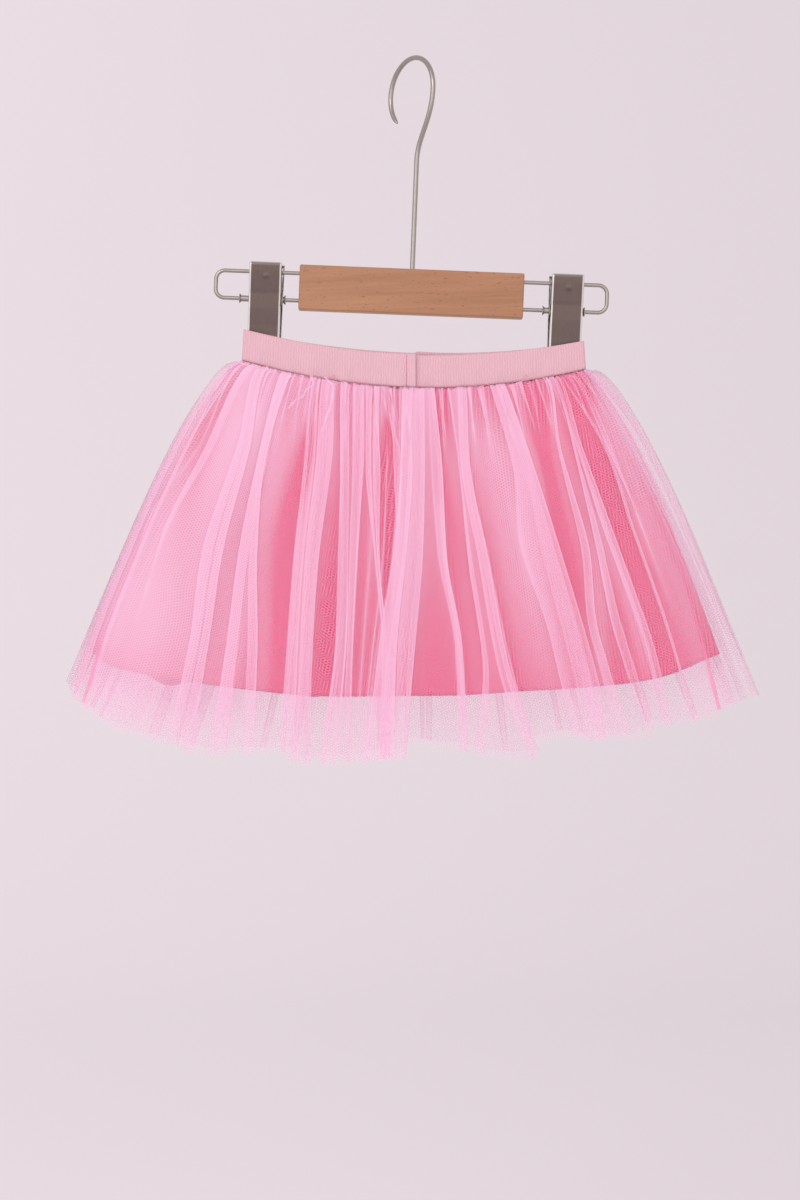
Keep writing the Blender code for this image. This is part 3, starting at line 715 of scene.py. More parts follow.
def curve_through(path, count):
    """That many points of a smooth curve through a path in millimetres, as three rows."""
    return smooth_curve(np.linspace(0, 1, len(path)), np.array(path).T * MM, np.linspace(0, 1, count))


def soft_step(x, reach):
    """From 0 to 1 round x = 0."""
    return 1 / (1 + np.exp(-x / reach))


def tau_of(layer, x, share):
    """Place round the front for a distance from the middle, at a share of the drop."""
    across = np.linspace(-1, 1, 401)
    drop = share * hem_length(across, TULLE_HEM)
    found = np.interp(x, skirt_x(layer, across, drop), across)
    return 1 + np.arcsin(np.clip(found, -0.9995, 0.9995)) * 2 / np.pi


def placed_pleats(layer, pleats):
    """The listed pleats as (first edge, second edge, stand-off before, stand-off after)."""
    made = []
    for kind, fold, hidden, at_band, at_hem in pleats:
        fold, hidden = (
            [float(tau_of(layer, x * MM, share)) for x, share in zip(edge, ROWS_AT)]
            for edge in (fold, hidden)
        )
        rise = (at_band * MM, at_hem * MM)
        if kind == "R":
            made.append((fold, hidden, rise, (0.0, 0.0)))
        else:
            made.append((hidden, fold, (0.0, 0.0), rise))
    return made


def speeds_at(layer, tau):
    """How fast the wall runs round there, at each of the five heights."""
    return [outward(layer, np.array([tau]), np.array([share * FULL_DROP]))[1][0] for share in ROWS_AT]


def scattered_pleats(layer, first, last, count, rng):
    """Pleats like the listed ones for a side that doesn't show."""
    made = []
    for i in range(count):
        middle = first + (last - first) * (i + 0.5 + rng.uniform(-0.22, 0.22)) / count
        speeds = speeds_at(layer, middle)
        low = rng.uniform(1.0, 3.5)
        across = (rng.uniform(2.0, 3.4), rng.uniform(2.2, 4.0), rng.uniform(2.5, 4.0), 1.5 + 0.7 * low, low)
        widths = [w * MM / speed for w, speed in zip(across, speeds)]
        drift = rng.uniform(-0.02, 0.02)
        one = [middle + drift * k + w for k, w in zip(ROWS_AT, widths)]
        two = [middle + drift * k - w for k, w in zip(ROWS_AT, widths)]
        rise = (rng.uniform(1.0, 1.6) * MM, rng.uniform(2.0, 4.5) * MM)
        if rng.random() < 0.5:
            made.append((one, two, rise, (0.0, 0.0)))
        else:
            made.append((one, two, (0.0, 0.0), rise))
    return made


def add_gathers(layer, pleats, ends, rng):
    """Small gathers between the pleats: lapped at the band, they open out a little way down."""
    lines = [(ends[0], None)]
    for first, second, _, _ in pleats:
        lines += [(first, False), (second, True)]
    lines.append((ends[1], None))
    made = []
    for (start, _), (stop, lapped) in zip(lines, lines[1:]):
        if lapped:
            continue
        speeds = speeds_at(layer, (start[0] + stop[0]) / 2)
        run = (stop[0] - start[0]) * speeds[0] / MM
        count = int(run / GATHER_SPACING)
        for j in range(count):
            share = (j + 0.5 + rng.uniform(-0.25, 0.25)) / count
            middle = start[0] + (stop[0] - start[0]) * share
            lap = rng.uniform(0.8, 2.0) * MM / speeds[0]
            half = rng.uniform(1.4, 2.6) * MM / speeds[-1] / (stop[-1] - start[-1])
            one = [a + (b - a) * (share - half) for a, b in zip(start, stop)]
            two = [a + (b - a) * (share + half) for a, b in zip(start, stop)]
            one[0], two[0] = middle + lap, middle - lap
            made.append((one, two))
    return made


def fold_lines(layer, ends, pleats, rng):
    """Both edges of every lap, left to right between the panel's ends; a gather has None for its pleat."""
    gathers = add_gathers(layer, pleats, ends, rng)
    gap = SEAM_GAP / 2 / speeds_at(layer, ends[0][2])[2]
    laps = [(p[0], p[1], p) for p in pleats] + [(g[0], g[1], None) for g in gathers]
    laps.sort(key=lambda lap: lap[0][-1] + lap[1][-1] + 3 * (lap[0][0] + lap[1][0]))
    lines = [[tau + gap for tau in ends[0]]]
    for one, two, _ in laps:
        lines += [one, two]
    lines.append([tau - gap for tau in ends[1]])
    return np.array(lines), laps


def places_on_cloth(layer, ends, lines):
    """How far across the flat net each line lies: the net between two lines has to reach at every height."""
    fine = np.linspace(min(ends[0]) - 0.05, max(ends[1]) + 0.05, 4001)
    laid = []
    for k, height in enumerate(ROWS_AT):
        ring = skirt_wall(layer, fine, height * hem_length(around(fine)[0], TULLE_HEM))
        laid.append(np.abs(np.diff(np.interp(lines[:, k], fine, run_along(ring[:2])))))
    needed = np.maximum(0.4 * laid[-1] + 0.6 * np.max(laid, axis=0), 0.0006)
    return np.concatenate(([0], np.cumsum(needed)))


def stand_off(at, laps, where, share, rng):
    """How far the net stands off its wall: the pleats, the gathers on top of them, and soft ripples."""
    big_at, big = [0.0], [(0.0, 0.0)]
    small_at, small = [0.0], [0.0]
    for k, (_, _, pleat) in enumerate(laps):
        one, two = at[1 + 2 * k], at[2 + 2 * k]
        reach = 0.3 * (two - one)
        if pleat is None:
            small_at += [one - reach / 2, two + reach / 2]
            small += [0.0, 1.0] if k % 2 else [1.0, 0.0]
        else:
            big_at += [one - reach, two + reach]
            big += [pleat[2], pleat[3]]
    big_at, small_at = (
        np.maximum.accumulate(np.array((*places, at[-1])) + np.arange(len(places) + 1) * 1e-7)
        for places in (big_at, small_at)
    )
    at_band, at_hem = np.array((*big, (0.0, 0.0))).T
    level = smooth_curve(big_at, at_band + np.outer(share**0.7, at_hem - at_band), where)
    bump = smooth_curve(small_at, np.array((*small, 0.0))[None, :], where)
    level = level + bump * (GATHER_HEIGHT * np.exp(-share / GATHERS_OPEN_BY))[:, None]
    for pitch in RIPPLES:
        wave = np.sin(2 * np.pi * where / (pitch * MM) + rng.uniform(0, 6.28) + 1.5 * np.sin(where / 0.07))
        level = level + (RIPPLE_HEIGHT * (pitch / RIPPLES[0]) * (0.4 + share))[:, None] * wave
    return level


def net_layers(wall, where, share, calm, bunched, rng):
    """How many layers of net lie at each vertex."""
    laid = np.hypot(np.diff(wall[0], axis=1), np.diff(wall[1], axis=1))
    crowd = np.clip(np.diff(where) / np.maximum(laid, 1e-6), 0.6, 7.0)
    gather = np.concatenate((crowd[:, :1], (crowd[:, 1:] + crowd[:, :-1]) / 2, crowd[:, -1:]), axis=1)
    # gathers too fine to model, under the band: they stop more light, unevenly, and fade down the skirt
    fine = np.zeros(len(where))
    for pitch in FINE_GATHERS:
        fine += np.sin(2 * np.pi * where / (pitch * MM) + rng.uniform(0, 6.28))
    fine = np.clip(1 + 0.3 * fine, 0.2, 2.0)
    reach = 0.12 + 0.05 * fine
    gather = gather + 1.2 * fine * np.exp(-((share[:, None] / reach) ** 1.3))
    for line, half_width, layers in bunched:
        middle, extra = smooth_curve(np.array(ROWS_AT), np.array((line, layers)), share)[:, :, None]
        gather = gather + extra * np.exp(-(((wall[0] / MM - middle) / half_width) ** 2))
    return np.maximum(1 + (gather - 1) * calm**2, 0.7) * (1 - 0.5 * share[:, None] ** 6)


def turn_over_top(place, out, gather, uv, where, share, rng):
    """Puff the net's top edge up and down a little, and curl it back over the seam under the band."""
    puff = np.zeros(len(where))
    for pitch, height in LIP_PUFFS:
        puff += height * MM * np.sin(2 * np.pi * where / (pitch * MM) + rng.uniform(0, 6.28))
    puff = np.clip(0.8 * puff - 1.9 * MM, -3.0 * MM, 1.0 * MM)
    place[2] += puff * np.exp(-share / 0.012)[:, None]
    top, side, high = place[:, :1], out[:, :1], uv[:, :1]
    curl, along = [], []
    for i, angle in enumerate(np.radians(LIP_TURNS)):
        up = np.array((0, 0, LIP_RADIUS * math.sin(angle)))[:, None, None]
        curl.append(top + side * (LIP_RADIUS * (math.cos(angle) - 1)) + up)
        along.append(high - np.array((0, (len(LIP_TURNS) - i) * 0.4 * MM))[:, None, None])
    return (
        np.concatenate((*curl, place), axis=1),
        np.concatenate((*[side] * len(curl), out), axis=1),
        np.concatenate((*[gather[:1]] * len(curl), gather), axis=0),
        np.concatenate((*along, uv), axis=1),
    )


def net_sheet(name, layer, ends, pleats, seed, lip, bunched, cloth):
    """One panel of net: its pleats and gathers are real laps, so the layers count where they lie."""
    rng = np.random.default_rng(seed)
    lines, laps = fold_lines(layer, ends, pleats, rng)
    at = places_on_cloth(layer, ends, lines)
    width = at[-1]
    columns = int(width / cloth.column_step)
    where = np.linspace(0, width, columns + 1)
    share = np.linspace(0, 1, cloth.net_rows + 1) ** 1.25
    tau = smooth_curve(at, smooth_curve(np.array(ROWS_AT), lines, share).T, where)
    across, _ = around(tau)
    calm = 0.25 + 0.75 * away_from_sides(across)
    level = stand_off(at, laps, where, share, rng)
    full = hem_length(across, TULLE_HEM)
    tip = level / np.maximum(level.max(), 1e-9) * calm**2 * HEM_DIP * (share**6)[:, None]
    drop = share[:, None] * full + tip
    out, _ = outward(layer, tau, drop)
    wall = skirt_wall(layer, tau, drop)
    place = wall + out * level * calm
    gather = net_layers(wall, where, share, calm, bunched, rng)
    uv = np.stack((np.broadcast_to(where, tau.shape), share[:, None] * full))
    if lip:
        place, out, gather, uv = turn_over_top(place, out, gather, uv, where, share, rng)
    mesh, at = surface(name, place, uv + UV_MARGIN, gather=gather)
    soften_normals(mesh, at, evened_out(out, int(BODY_WIDTH / cloth.column_step)))
    return mesh, width


def strip_mesh(name, points, sideways, width, curl, layers):
    """A narrow ribbon of net along a chain of points, arched across its width, as dense as those layers."""
    sideways = sideways / np.linalg.norm(sideways, axis=0)
    run = np.gradient(points, axis=1)
    run = run / np.linalg.norm(run, axis=0)
    out = np.cross(run.T, sideways.T).T
    out = out * np.where(out[1] > 0, -1.0, 1.0)
    across = np.linspace(-0.5, 0.5, 7)
    width = np.broadcast_to(width, points.shape[1])
    place = (
        points[:, :, None]
        + (sideways * width)[:, :, None] * across
        + (out * width)[:, :, None] * curl * (0.25 - across**2)
    )
    along = np.broadcast_to(run_along(points)[:, None], place.shape[1:])
    uv = np.stack((across * width[:, None], along)) + UV_MARGIN
    return surface(name, place, uv, gather=np.full(place.shape[1:], float(layers)))[0]


# ---- materials ----


def net_material(name, cloth, turn, colour=None):
    """Polyester tulle: warp-knitted hexagons of dull yarn.  The holes let most of the light through.

    Real holes are about 1.2 mm apart, too fine to show, so they are drawn 2.1 mm apart.
    """
    made, tree, shader = new_material(name)
    uv = add_node(tree, "UVMap", uv_map="UVMap")
    waves = []
    for angle in (0, 60, 120):
        a = math.radians(angle + turn)
        k = 2 * math.pi / (cloth.net_pitch * math.sqrt(3) / 2)
        way = (k * math.cos(a), k * math.sin(a), 0.0)
        dot = add_node(tree, "VectorMath", {0: uv, 1: way}, "Value", operation="DOT_PRODUCT")
        waves.append(add_node(tree, "Math", {0: dot}, operation="COSINE"))
    mesh = add_node(tree, "Math", {0: waves[0], 1: waves[1]}, operation="ADD")
    mesh = add_node(tree, "Math", {0: mesh, 1: waves[2]}, operation="ADD")
    ends = {"Value": mesh, "From Min": 0.3, "From Max": -1.1, "To Min": -0.72, "To Max": 0.77}
    yarn = add_node(tree, "MapRange", ends)
    # several layers even out each other's holes, and each lets through its share of what reaches it
    gather = add_node(tree, "Attribute", None, "Fac", attribute_name="gather")
    uneven = add_node(tree, "Math", {0: yarn, 1: gather}, operation="DIVIDE")
    cover = add_node(tree, "Math", {0: uneven, 1: 1.0}, operation="ADD")
    cover = add_node(tree, "Math", {0: cover, 1: cloth.tulle_cover}, operation="MULTIPLY")
    clear = add_node(tree, "Math", {0: 1.0, 1: cover}, operation="SUBTRACT")
    clear = add_node(tree, "Math", {0: clear, 1: 0.02}, operation="MAXIMUM")
    through = add_node(tree, "Math", {0: clear, 1: gather}, operation="POWER")
    alpha = add_node(tree, "Math", {0: 1.0, 1: through}, operation="SUBTRACT", use_clamp=True)
    look = {"Base Color": colour or cloth.tulle_colour, "Alpha": alpha, "Roughness": 0.75}
    look |= {"Sheen Weight": 0.2, "Sheen Roughness": 0.5, "Specular IOR Level": 0.2}
    set_inputs(tree, shader, look)
    return made


def woven_material(name, colour, thread_mm, roughness, sheen, depth):
    """Woven or knitted polyester and cotton: fine crossed threads, matt, with slow uneven dye."""
    made, tree, shader = new_material(name)
    uv = add_node(tree, "UVMap", uv_map="UVMap")
    threads = {"Vector": uv, "Scale": math.pi / (10 * thread_mm * MM), "Distortion": 1.2, "Detail Scale": 2.0}
    warp, weft = (add_node(tree, "TexWave", threads, "Fac", bands_direction=way) for way in "XY")
    weave = add_node(tree, "Math", {0: warp, 1: weft}, operation="MULTIPLY")
    # clouds of dye about 45 mm across
    dye = add_node(tree, "TexNoise", {"Vector": uv, "Scale": 22.0, "Detail": 3.0})
    shown = add_node(tree, "Math", {0: weave, 1: 0.5}, operation="MULTIPLY")
    share = add_node(tree, "Math", {0: dye, 1: 0.7, 2: shown}, operation="MULTIPLY_ADD")
    cloth = add_node(tree, "Mix", {0: share, 6: toned(colour, 0.84), 7: colour}, 2, data_type="RGBA")
    bump = add_node(tree, "Bump", {"Height": weave, "Strength": 0.25, "Distance": depth})
    look = {"Base Color": cloth, "Roughness": roughness, "Normal": bump}
    look |= {"Sheen Weight": sheen, "Sheen Roughness": 0.4, "Specular IOR Level": 0.3}
    set_inputs(tree, shader, look)
    return made


def elastic_material(cloth):
    """Woven elastic: upright ribs of covered rubber thread, matt, drawn 1.9 mm apart so that they show."""
    made, tree, shader = new_material("woven_ribbed_elastic")
    uv = add_node(tree, "UVMap", uv_map="UVMap")
    ribs = {"Vector": uv, "Scale": math.pi / (10 * 1.9 * MM), "Distortion": 5.0}
    ribs |= {"Detail": 1.5, "Detail Scale": 1.6}
    rib = add_node(tree, "TexWave", ribs, "Fac", bands_direction="X")
    picks = {"Vector": uv, "Scale": math.pi / (10 * 0.8 * MM), "Distortion": 1.0}
    pick = add_node(tree, "TexWave", picks, "Fac", bands_direction="Y")
    # clouds of dye about 17 mm across
    dye = add_node(tree, "TexNoise", {"Vector": uv, "Scale": 60.0, "Detail": 4.0})
    shown = add_node(tree, "Math", {0: rib, 1: 0.55}, operation="MULTIPLY")
    share = add_node(tree, "Math", {0: dye, 1: 0.5, 2: shown}, operation="MULTIPLY_ADD")
    colours = {0: share, 6: toned(cloth.band_colour, 0.8), 7: cloth.band_colour}
    dyed = add_node(tree, "Mix", colours, 2, data_type="RGBA")
    height = add_node(tree, "Math", {0: pick, 1: 0.3, 2: rib}, operation="MULTIPLY_ADD")
    bump = add_node(tree, "Bump", {"Height": height, "Strength": 0.35, "Distance": 0.0004})
    look = {"Base Color": dyed, "Roughness": 0.8, "Normal": bump}
    look |= {"Sheen Weight": 0.35, "Sheen Roughness": 0.4, "Specular IOR Level": 0.25}
    set_inputs(tree, shader, look)
    return made


def thread_material(name, colour):
    """Spun polyester thread: twisted, with a soft sheen."""
    made, tree, shader = new_material(name)
    place = add_node(tree, "TexCoord", None, "Object")
    # twists about 1.1 mm long
    twist = add_node(tree, "TexNoise", {"Vector": place, "Scale": 900.0, "Detail": 2.0})
    yarn = add_node(tree, "Mix", {0: twist, 6: toned(colour, 0.75), 7: colour}, 2, data_type="RGBA")
    bump = add_node(tree, "Bump", {"Height": twist, "Strength": 0.3, "Distance": 0.0002})
    look = {"Base Color": yarn, "Roughness": 0.6, "Normal": bump}
    set_inputs(tree, shader, look | {"Sheen Weight": 0.3, "Specular IOR Level": 0.3})
    return made


def beech_material(hanger):
    """Oiled beech: fine grain along the bar, small dark flecks, a satin surface."""
    made, tree, shader = new_material("oiled_beech")
    place = add_node(tree, "TexCoord", None, "Object")
    level = add_node(tree, "Mapping", {"Vector": place, "Rotation": (0, HANGER_TILT, 0)})
    noises = []
    # each runs long along the bar: grain 2.4 mm apart and 70 mm long, broad 9 by 110 mm, flecks 1 by 4 mm
    for scale, detail in (((14, 420, 420), 5.0), ((9, 110, 110), 2.0), ((260, 900, 900), 1.0)):
        drawn = add_node(tree, "Mapping", {"Vector": level, "Scale": scale})
        noises.append(add_node(tree, "TexNoise", {"Vector": drawn, "Scale": 1.0, "Detail": detail}))
    grain, broad, fleck = noises
    shown = add_node(tree, "Math", {0: grain, 1: 0.55}, operation="MULTIPLY")
    share = add_node(tree, "Math", {0: broad, 1: 0.6, 2: shown}, operation="MULTIPLY_ADD")
    share = add_node(tree, "MapRange", {"Value": share, "From Min": 0.35, "From Max": 0.8})
    wood = {0: share, 6: hanger.grain_colour, 7: hanger.wood_colour}
    wood = add_node(tree, "Mix", wood, 2, data_type="RGBA")
    fleck = add_node(tree, "MapRange", {"Value": fleck, "From Min": 0.35, "From Max": 0.25})
    flecked = {0: fleck, 6: wood, 7: toned(hanger.grain_colour, 0.75)}
    flecked = add_node(tree, "Mix", flecked, 2, data_type="RGBA")
    satin = add_node(tree, "MapRange", {"Value": grain, "To Min": 0.42, "To Max": 0.58})
    bump = add_node(tree, "Bump", {"Height": grain, "Strength": 0.15, "Distance": 0.0002})
    look = {"Base Color": flecked, "Roughness": satin, "Normal": bump}
    look |= {"Specular IOR Level": 0.4, "Coat Weight": 0.08, "Coat Roughness": 0.3}
    set_inputs(tree, shader, look)
    return made


def nickel_material(hanger):
    """Nickel-plated steel wire: bright, with faint drawing marks."""
    made, tree, shader = new_material("nickel_plated_wire")
    place = add_node(tree, "TexCoord", None, "Object")
    # marks about 4 mm long
    marks = add_node(tree, "TexNoise", {"Vector": place, "Scale": 260.0, "Detail": 3.0})
    worn = {0: marks, 6: toned(hanger.wire_colour, 0.8), 7: hanger.wire_colour}
    worn = add_node(tree, "Mix", worn, 2, data_type="RGBA")
    rough = add_node(tree, "MapRange", {"Value": marks, "To Min": 0.16, "To Max": 0.3})
    set_inputs(tree, shader, {"Base Color": worn, "Metallic": 1.0, "Roughness": rough})
    return made


def plate_material(hanger):
    """Plated steel sheet, pressed: mirror faces whose dark colour is a painted reflection, with a painted
    highlight on the bent edges and the rolled top.
    """
    made, tree, shader = new_material("pressed_plated_steel")
    place = add_node(tree, "TexCoord", None, "Object")
    # brushed upright, in marks about 0.8 by 17 mm
    brushed = add_node(tree, "Mapping", {"Vector": place, "Scale": (1200, 1200, 60)})
    marks = add_node(tree, "TexNoise", {"Vector": brushed, "Scale": 1.0, "Detail": 3.0})
    # the face's colour is a painted dark reflection, varied by the brushed marks
    face = {0: marks, 6: toned(hanger.dark_reflection_colour, 0.85), 7: toned(hanger.dark_reflection_colour, 1.15)}
    face = add_node(tree, "Mix", face, 2, data_type="RGBA")
    # painted highlight: pale over the bends, a little on the flanges and over the rolled top
    rim = add_node(tree, "Attribute", None, "Fac", attribute_name="rim")
    steel = add_node(tree, "Mix", {0: rim, 6: face, 7: hanger.rim_colour}, 2, data_type="RGBA")
    rough = add_node(tree, "MapRange", {"Value": marks, "To Min": 0.28, "To Max": 0.42})
    set_inputs(tree, shader, {"Base Color": steel, "Metallic": 1.0, "Roughness": rough})
    return made


def plaster_material(colour):
    """Matt painted plaster: pale, with painted shade that darkens it a little towards the right, and faint
    slow clouds.
    """
    made, tree, shader = new_material("matt_plaster")
    place = add_node(tree, "TexCoord", None, "Object")
    # painted shade: the plaster darkens a little towards the right
    side = add_node(tree, "SeparateXYZ", {0: place})
    away = add_node(tree, "MapRange", {"Value": side, "From Min": 1.4, "From Max": -1.4})
    shown = add_node(tree, "Math", {0: away, 1: 0.8}, operation="MULTIPLY")
    cloud = add_node(tree, "TexNoise", {"Vector": place, "Scale": 0.7, "Detail": 1.0})
    share = add_node(tree, "Math", {0: cloud, 1: 0.2, 2: shown}, operation="MULTIPLY_ADD")
    tone_and_painted_shade = add_node(tree, "Mix", {0: share, 6: toned(colour, 0.86), 7: colour}, 2, data_type="RGBA")
    set_inputs(tree, shader, {"Base Color": tone_and_painted_shade, "Roughness": 0.95, "Specular IOR Level": 0.1})
    return made


# ---- hanger ----


def hook_plane(reach, z):
    """A point of the hook's own plane, which is turned from the garment's front."""
    return (reach * math.sin(HOOK_TURN), -reach * math.cos(HOOK_TURN), z)


def hook_points(wire):
    """The hook from its shank in the bar, up, round the rail and down to its tip."""
    centre_z = wire / 2 - HOOK_RADIUS
    shank_end = BAR_Z + settings().hanger.bar_height / 2 - SHANK_IN_BAR
    points = [hook_plane(SHANK_REACH, z) for z in np.linspace(shank_end, SHANK_FROM, 8, endpoint=False)]
    start = np.array((SHANK_REACH, SHANK_FROM))
    bend = (
        start,
        start + (0, HOOK_BEND_LOW),
        np.array((HOOK_RADIUS, centre_z - HOOK_BEND_HIGH)),
        np.array((HOOK_RADIUS, centre_z)),
    )
    for t in np.linspace(0, 1, 26, endpoint=False):
        at = (1 - t) ** 3 * bend[0] + 3 * t * (1 - t) ** 2 * bend[1]
        at = at + 3 * t * t * (1 - t) * bend[2] + t**3 * bend[3]
        points.append(hook_plane(at[0], at[1]))
    for angle in np.linspace(math.pi / 2, HOOK_TIP_ANGLE, 56):
        points.append(hook_plane(HOOK_RADIUS * math.sin(angle), centre_z + HOOK_RADIUS * math.cos(angle)))
    return points


def rounded_radii(count, ends=5):
    """Radii that round off the far end of a wire."""
    radii = np.ones(count)
    for i in range(ends):
        radii[count - 1 - i] = math.sqrt(1 - (1 - (i + 0.15) / ends) ** 2)
    return radii


def box_mesh(name, size, centre, ease):
    """A box with rounded edges."""
    bm = bmesh.new()
    bmesh.ops.create_cube(bm, size=1.0)
    bmesh.ops.scale(bm, vec=size, verts=bm.verts)
    bmesh.ops.translate(bm, vec=centre, verts=bm.verts)
    bmesh.ops.bevel(bm, geom=bm.edges[:], offset=ease, affect="EDGES", segments=4, profile=0.5, material=-1)
    return finished(name, bm)


def plate_mesh(name, centre_x, front, shift, hanger):
    """A pressed plate: face, rounded bends and side flanges with ears, and a small dimple near the top."""
    way = -1 if front else 1
    half = (hanger.clip_width - hanger.clip_sheet) / 2
    bend, roll = PLATE_BEND, PLATE_ROLL
    dimple_x, dimple_z, dimple_radius, dimple_depth = PLATE_DIMPLE
    heights = np.linspace(CLIP_ROWS[-1][0], CLIP_ROWS[0][0], 85)
    # across the plate: shares of the flange, angles round the bend, places on the face
    left = [("flange", t) for t in (1.0, 0.66, 0.33)] + [("bend", t) for t in np.linspace(0, 90, 6)]
    profile = [(-1, *item) for item in left]
    profile += [(0, "face", t) for t in np.linspace(-1, 1, 19)[1:-1]]
    profile += [(1, *item) for item in reversed(left)]
    place = np.zeros((3, len(heights), len(profile)))
    # where the painted highlight lies: round the bends, a little on the flanges, and over the rolled top
    rim = np.zeros(place.shape[1:])
    for i, height in enumerate(heights):
        out = float(table(CLIP_ROWS, height, 1))
        flange = float(table(CLIP_ROWS, height, 2))
        top = np.clip((height - (CLIP_ROWS[-1][0] - roll)) / roll, 0, 1)
        tucked = out - roll * (1 - math.sqrt(max(0.0, 1 - top * top)))
        for j, (side, kind, t) in enumerate(profile):
            if kind == "face":
                x, y = t * (half - bend), tucked
                away = math.hypot(x - dimple_x, height - dimple_z) / dimple_radius
                y += dimple_depth * math.exp(-away * away)
            elif kind == "bend":
                a = math.radians(t)
                x = side * (half - bend + bend * math.cos(a))
                y = tucked - bend + bend * math.sin(a)
                rim[i, j] = math.sin(2 * a) ** 0.5 if 0 < t < 90 else 0.0
            else:
                x = side * half
                y = tucked - bend - t * max(flange - bend, 0.0001)
                rim[i, j] = 0.25
            rim[i, j] = max(rim[i, j], float(top) ** 2 * 0.8)
            place[:, i, j] = (centre_x + shift + x, BAR_Y + way * y, LOOP_LOW_Z + height)
    mesh, _ = surface(name, place, rim=rim)
    if not front:
        mesh.flip_normals()
    return mesh


def sleeve_mesh(name, centre_x, first, last):
    """The hollow pivot sleeve on the lower wire, its ends crimped out in small points."""
    lip = 0.0008
    profile = (
        (first, SLEEVE_BORE),
        (last, SLEEVE_BORE),
        (last, SLEEVE_FLARE),
        (last - lip * 0.6, SLEEVE_FLARE),
        (last - 2 * lip, SLEEVE_RADIUS),
        (first + 2 * lip, SLEEVE_RADIUS),
        (first + lip * 0.6, SLEEVE_FLARE),
        (first, SLEEVE_FLARE),
    )
    bm = bmesh.new()
    verts = [bm.verts.new((x, 0, r)) for x, r in profile]
    for i, vert in enumerate(verts):
        bm.edges.new((vert, verts[(i + 1) % len(verts)]))
    spun(bm, bm.verts[:] + bm.edges[:], (1, 0, 0), 36)
    for vert in bm.verts:
        radius = math.hypot(vert.co.y, vert.co.z)
        if radius > SLEEVE_FLARE - 1e-5:
            points = 1 + 0.14 * math.cos(6 * math.atan2(vert.co.y, vert.co.z))
            vert.co.y *= points
            vert.co.z *= points
    bmesh.ops.translate(bm, vec=(centre_x, BAR_Y, LOOP_LOW_Z), verts=bm.verts)
    return finished(name, bm)


def spring_points(centre_x, hanger):
    """The spring's coil round the sleeve, with a leg to each plate."""
    plate_y = float(table(CLIP_ROWS, SPRING_LEG, 1))
    leg_y = plate_y - hanger.clip_sheet / 2 - hanger.spring_wire / 2 - 0.0003
    points = [(-SPRING_HALF, -leg_y, SPRING_LEG)]
    steps = SPRING_TURNS * 20
    for i in range(steps + 1):
        t = i / steps
        angle = math.pi + t * (2 * SPRING_TURNS - 1) * math.pi
        x = -SPRING_HALF + 2 * SPRING_HALF * t
        points.append((x, SPRING_RADIUS * math.cos(angle), SPRING_RADIUS * math.sin(angle)))
    points.append((SPRING_HALF, leg_y, SPRING_LEG))
    return [(centre_x + x, BAR_Y + y, LOOP_LOW_Z + z) for x, y, z in points]


class SKORT_OT_hanger(Operator):
    """Build the hook, the wooden bar and the two wire loops"""

    bl_idname = "skort.hanger"
    bl_label = "Hook, bar and loops"

    def execute(self, context):
        hanger = settings().hanger
        nickel = nickel_material(hanger)
        points = hook_points(hanger.hook_wire)
        mesh = wire_mesh("hook", points, hanger.hook_wire, 8, rounded_radii(len(points)))
        add_hanger_piece("wire_hook", mesh, nickel, "nickel_wire", "hanger_hook")
        size = (hanger.bar_length, hanger.bar_depth, hanger.bar_height)
        mesh = box_mesh("bar", size, (BAR_X, BAR_Y, BAR_Z), hanger.bar_ease)
        mesh.shade_smooth()
        add_hanger_piece("wooden_bar", mesh, beech_material(hanger), "beech", "hanger_bar")
        for name, side in (("left", -1), ("right", 1)):
            inner = BAR_X + side * (hanger.bar_length / 2 - LOOP_IN_BAR)
            turn_x = BAR_X + side * (LOOP_END - LOOP_CORNER)
            points = [(inner, BAR_Y, LOOP_TOP_Z)]
            for z, way, angles in ((LOOP_TOP_Z, -1, (0, 90)), (LOOP_LOW_Z, 1, (90, 0))):
                for angle in np.radians(np.linspace(*angles, 12)):
                    out = LOOP_CORNER * math.sin(angle)
                    up = -way * LOOP_CORNER * math.cos(angle)
                    points.append((turn_x + side * out, BAR_Y, z + way * LOOP_CORNER + up))
            points.append((inner, BAR_Y, LOOP_LOW_Z))
            mesh = wire_mesh("loop", points, hanger.loop_wire, 7)
            add_hanger_piece(f"wire_loop_{name}", mesh, nickel, "nickel_wire", f"hanger_loop_{name}")
        return {"FINISHED"}


class SKORT_OT_clips(Operator):
    """Build the two spring clips with their plates, pivot sleeves and springs"""

    bl_idname = "skort.clips"
    bl_label = "Clips"

    def execute(self, context):
        hanger = settings().hanger
        steel = plate_material(hanger)
        nickel = bpy.data.materials["nickel_plated_wire"]
        for side, (centre_x, shift) in CLIPS.items():
            for face, front, moved in (("front", True, 0.0), ("back", False, shift)):
                mesh = plate_mesh("plate", centre_x, front, moved, hanger)
                node = f"clip_{side}_{face}"
                piece = add_hanger_piece(f"plate_{side}_{face}", mesh, steel, "plated_sheet", node)
                add_shell(piece, hanger.clip_sheet)
            mesh = sleeve_mesh("sleeve", centre_x, *SLEEVES[side])
            add_hanger_piece(f"pivot_sleeve_{side}", mesh, nickel, "nickel_wire", f"clip_{side}_sleeve")
            mesh = wire_mesh("spring", spring_points(centre_x, hanger), hanger.spring_wire, 3)
            add_hanger_piece(f"clip_spring_{side}", mesh, nickel, "nickel_wire", f"clip_{side}_spring")
        return {"FINISHED"}


# ---- waistband ----


def band_tau(x):
    return 1 + math.asin((x - BAND_X) / BAND_HALF) * 2 / math.pi


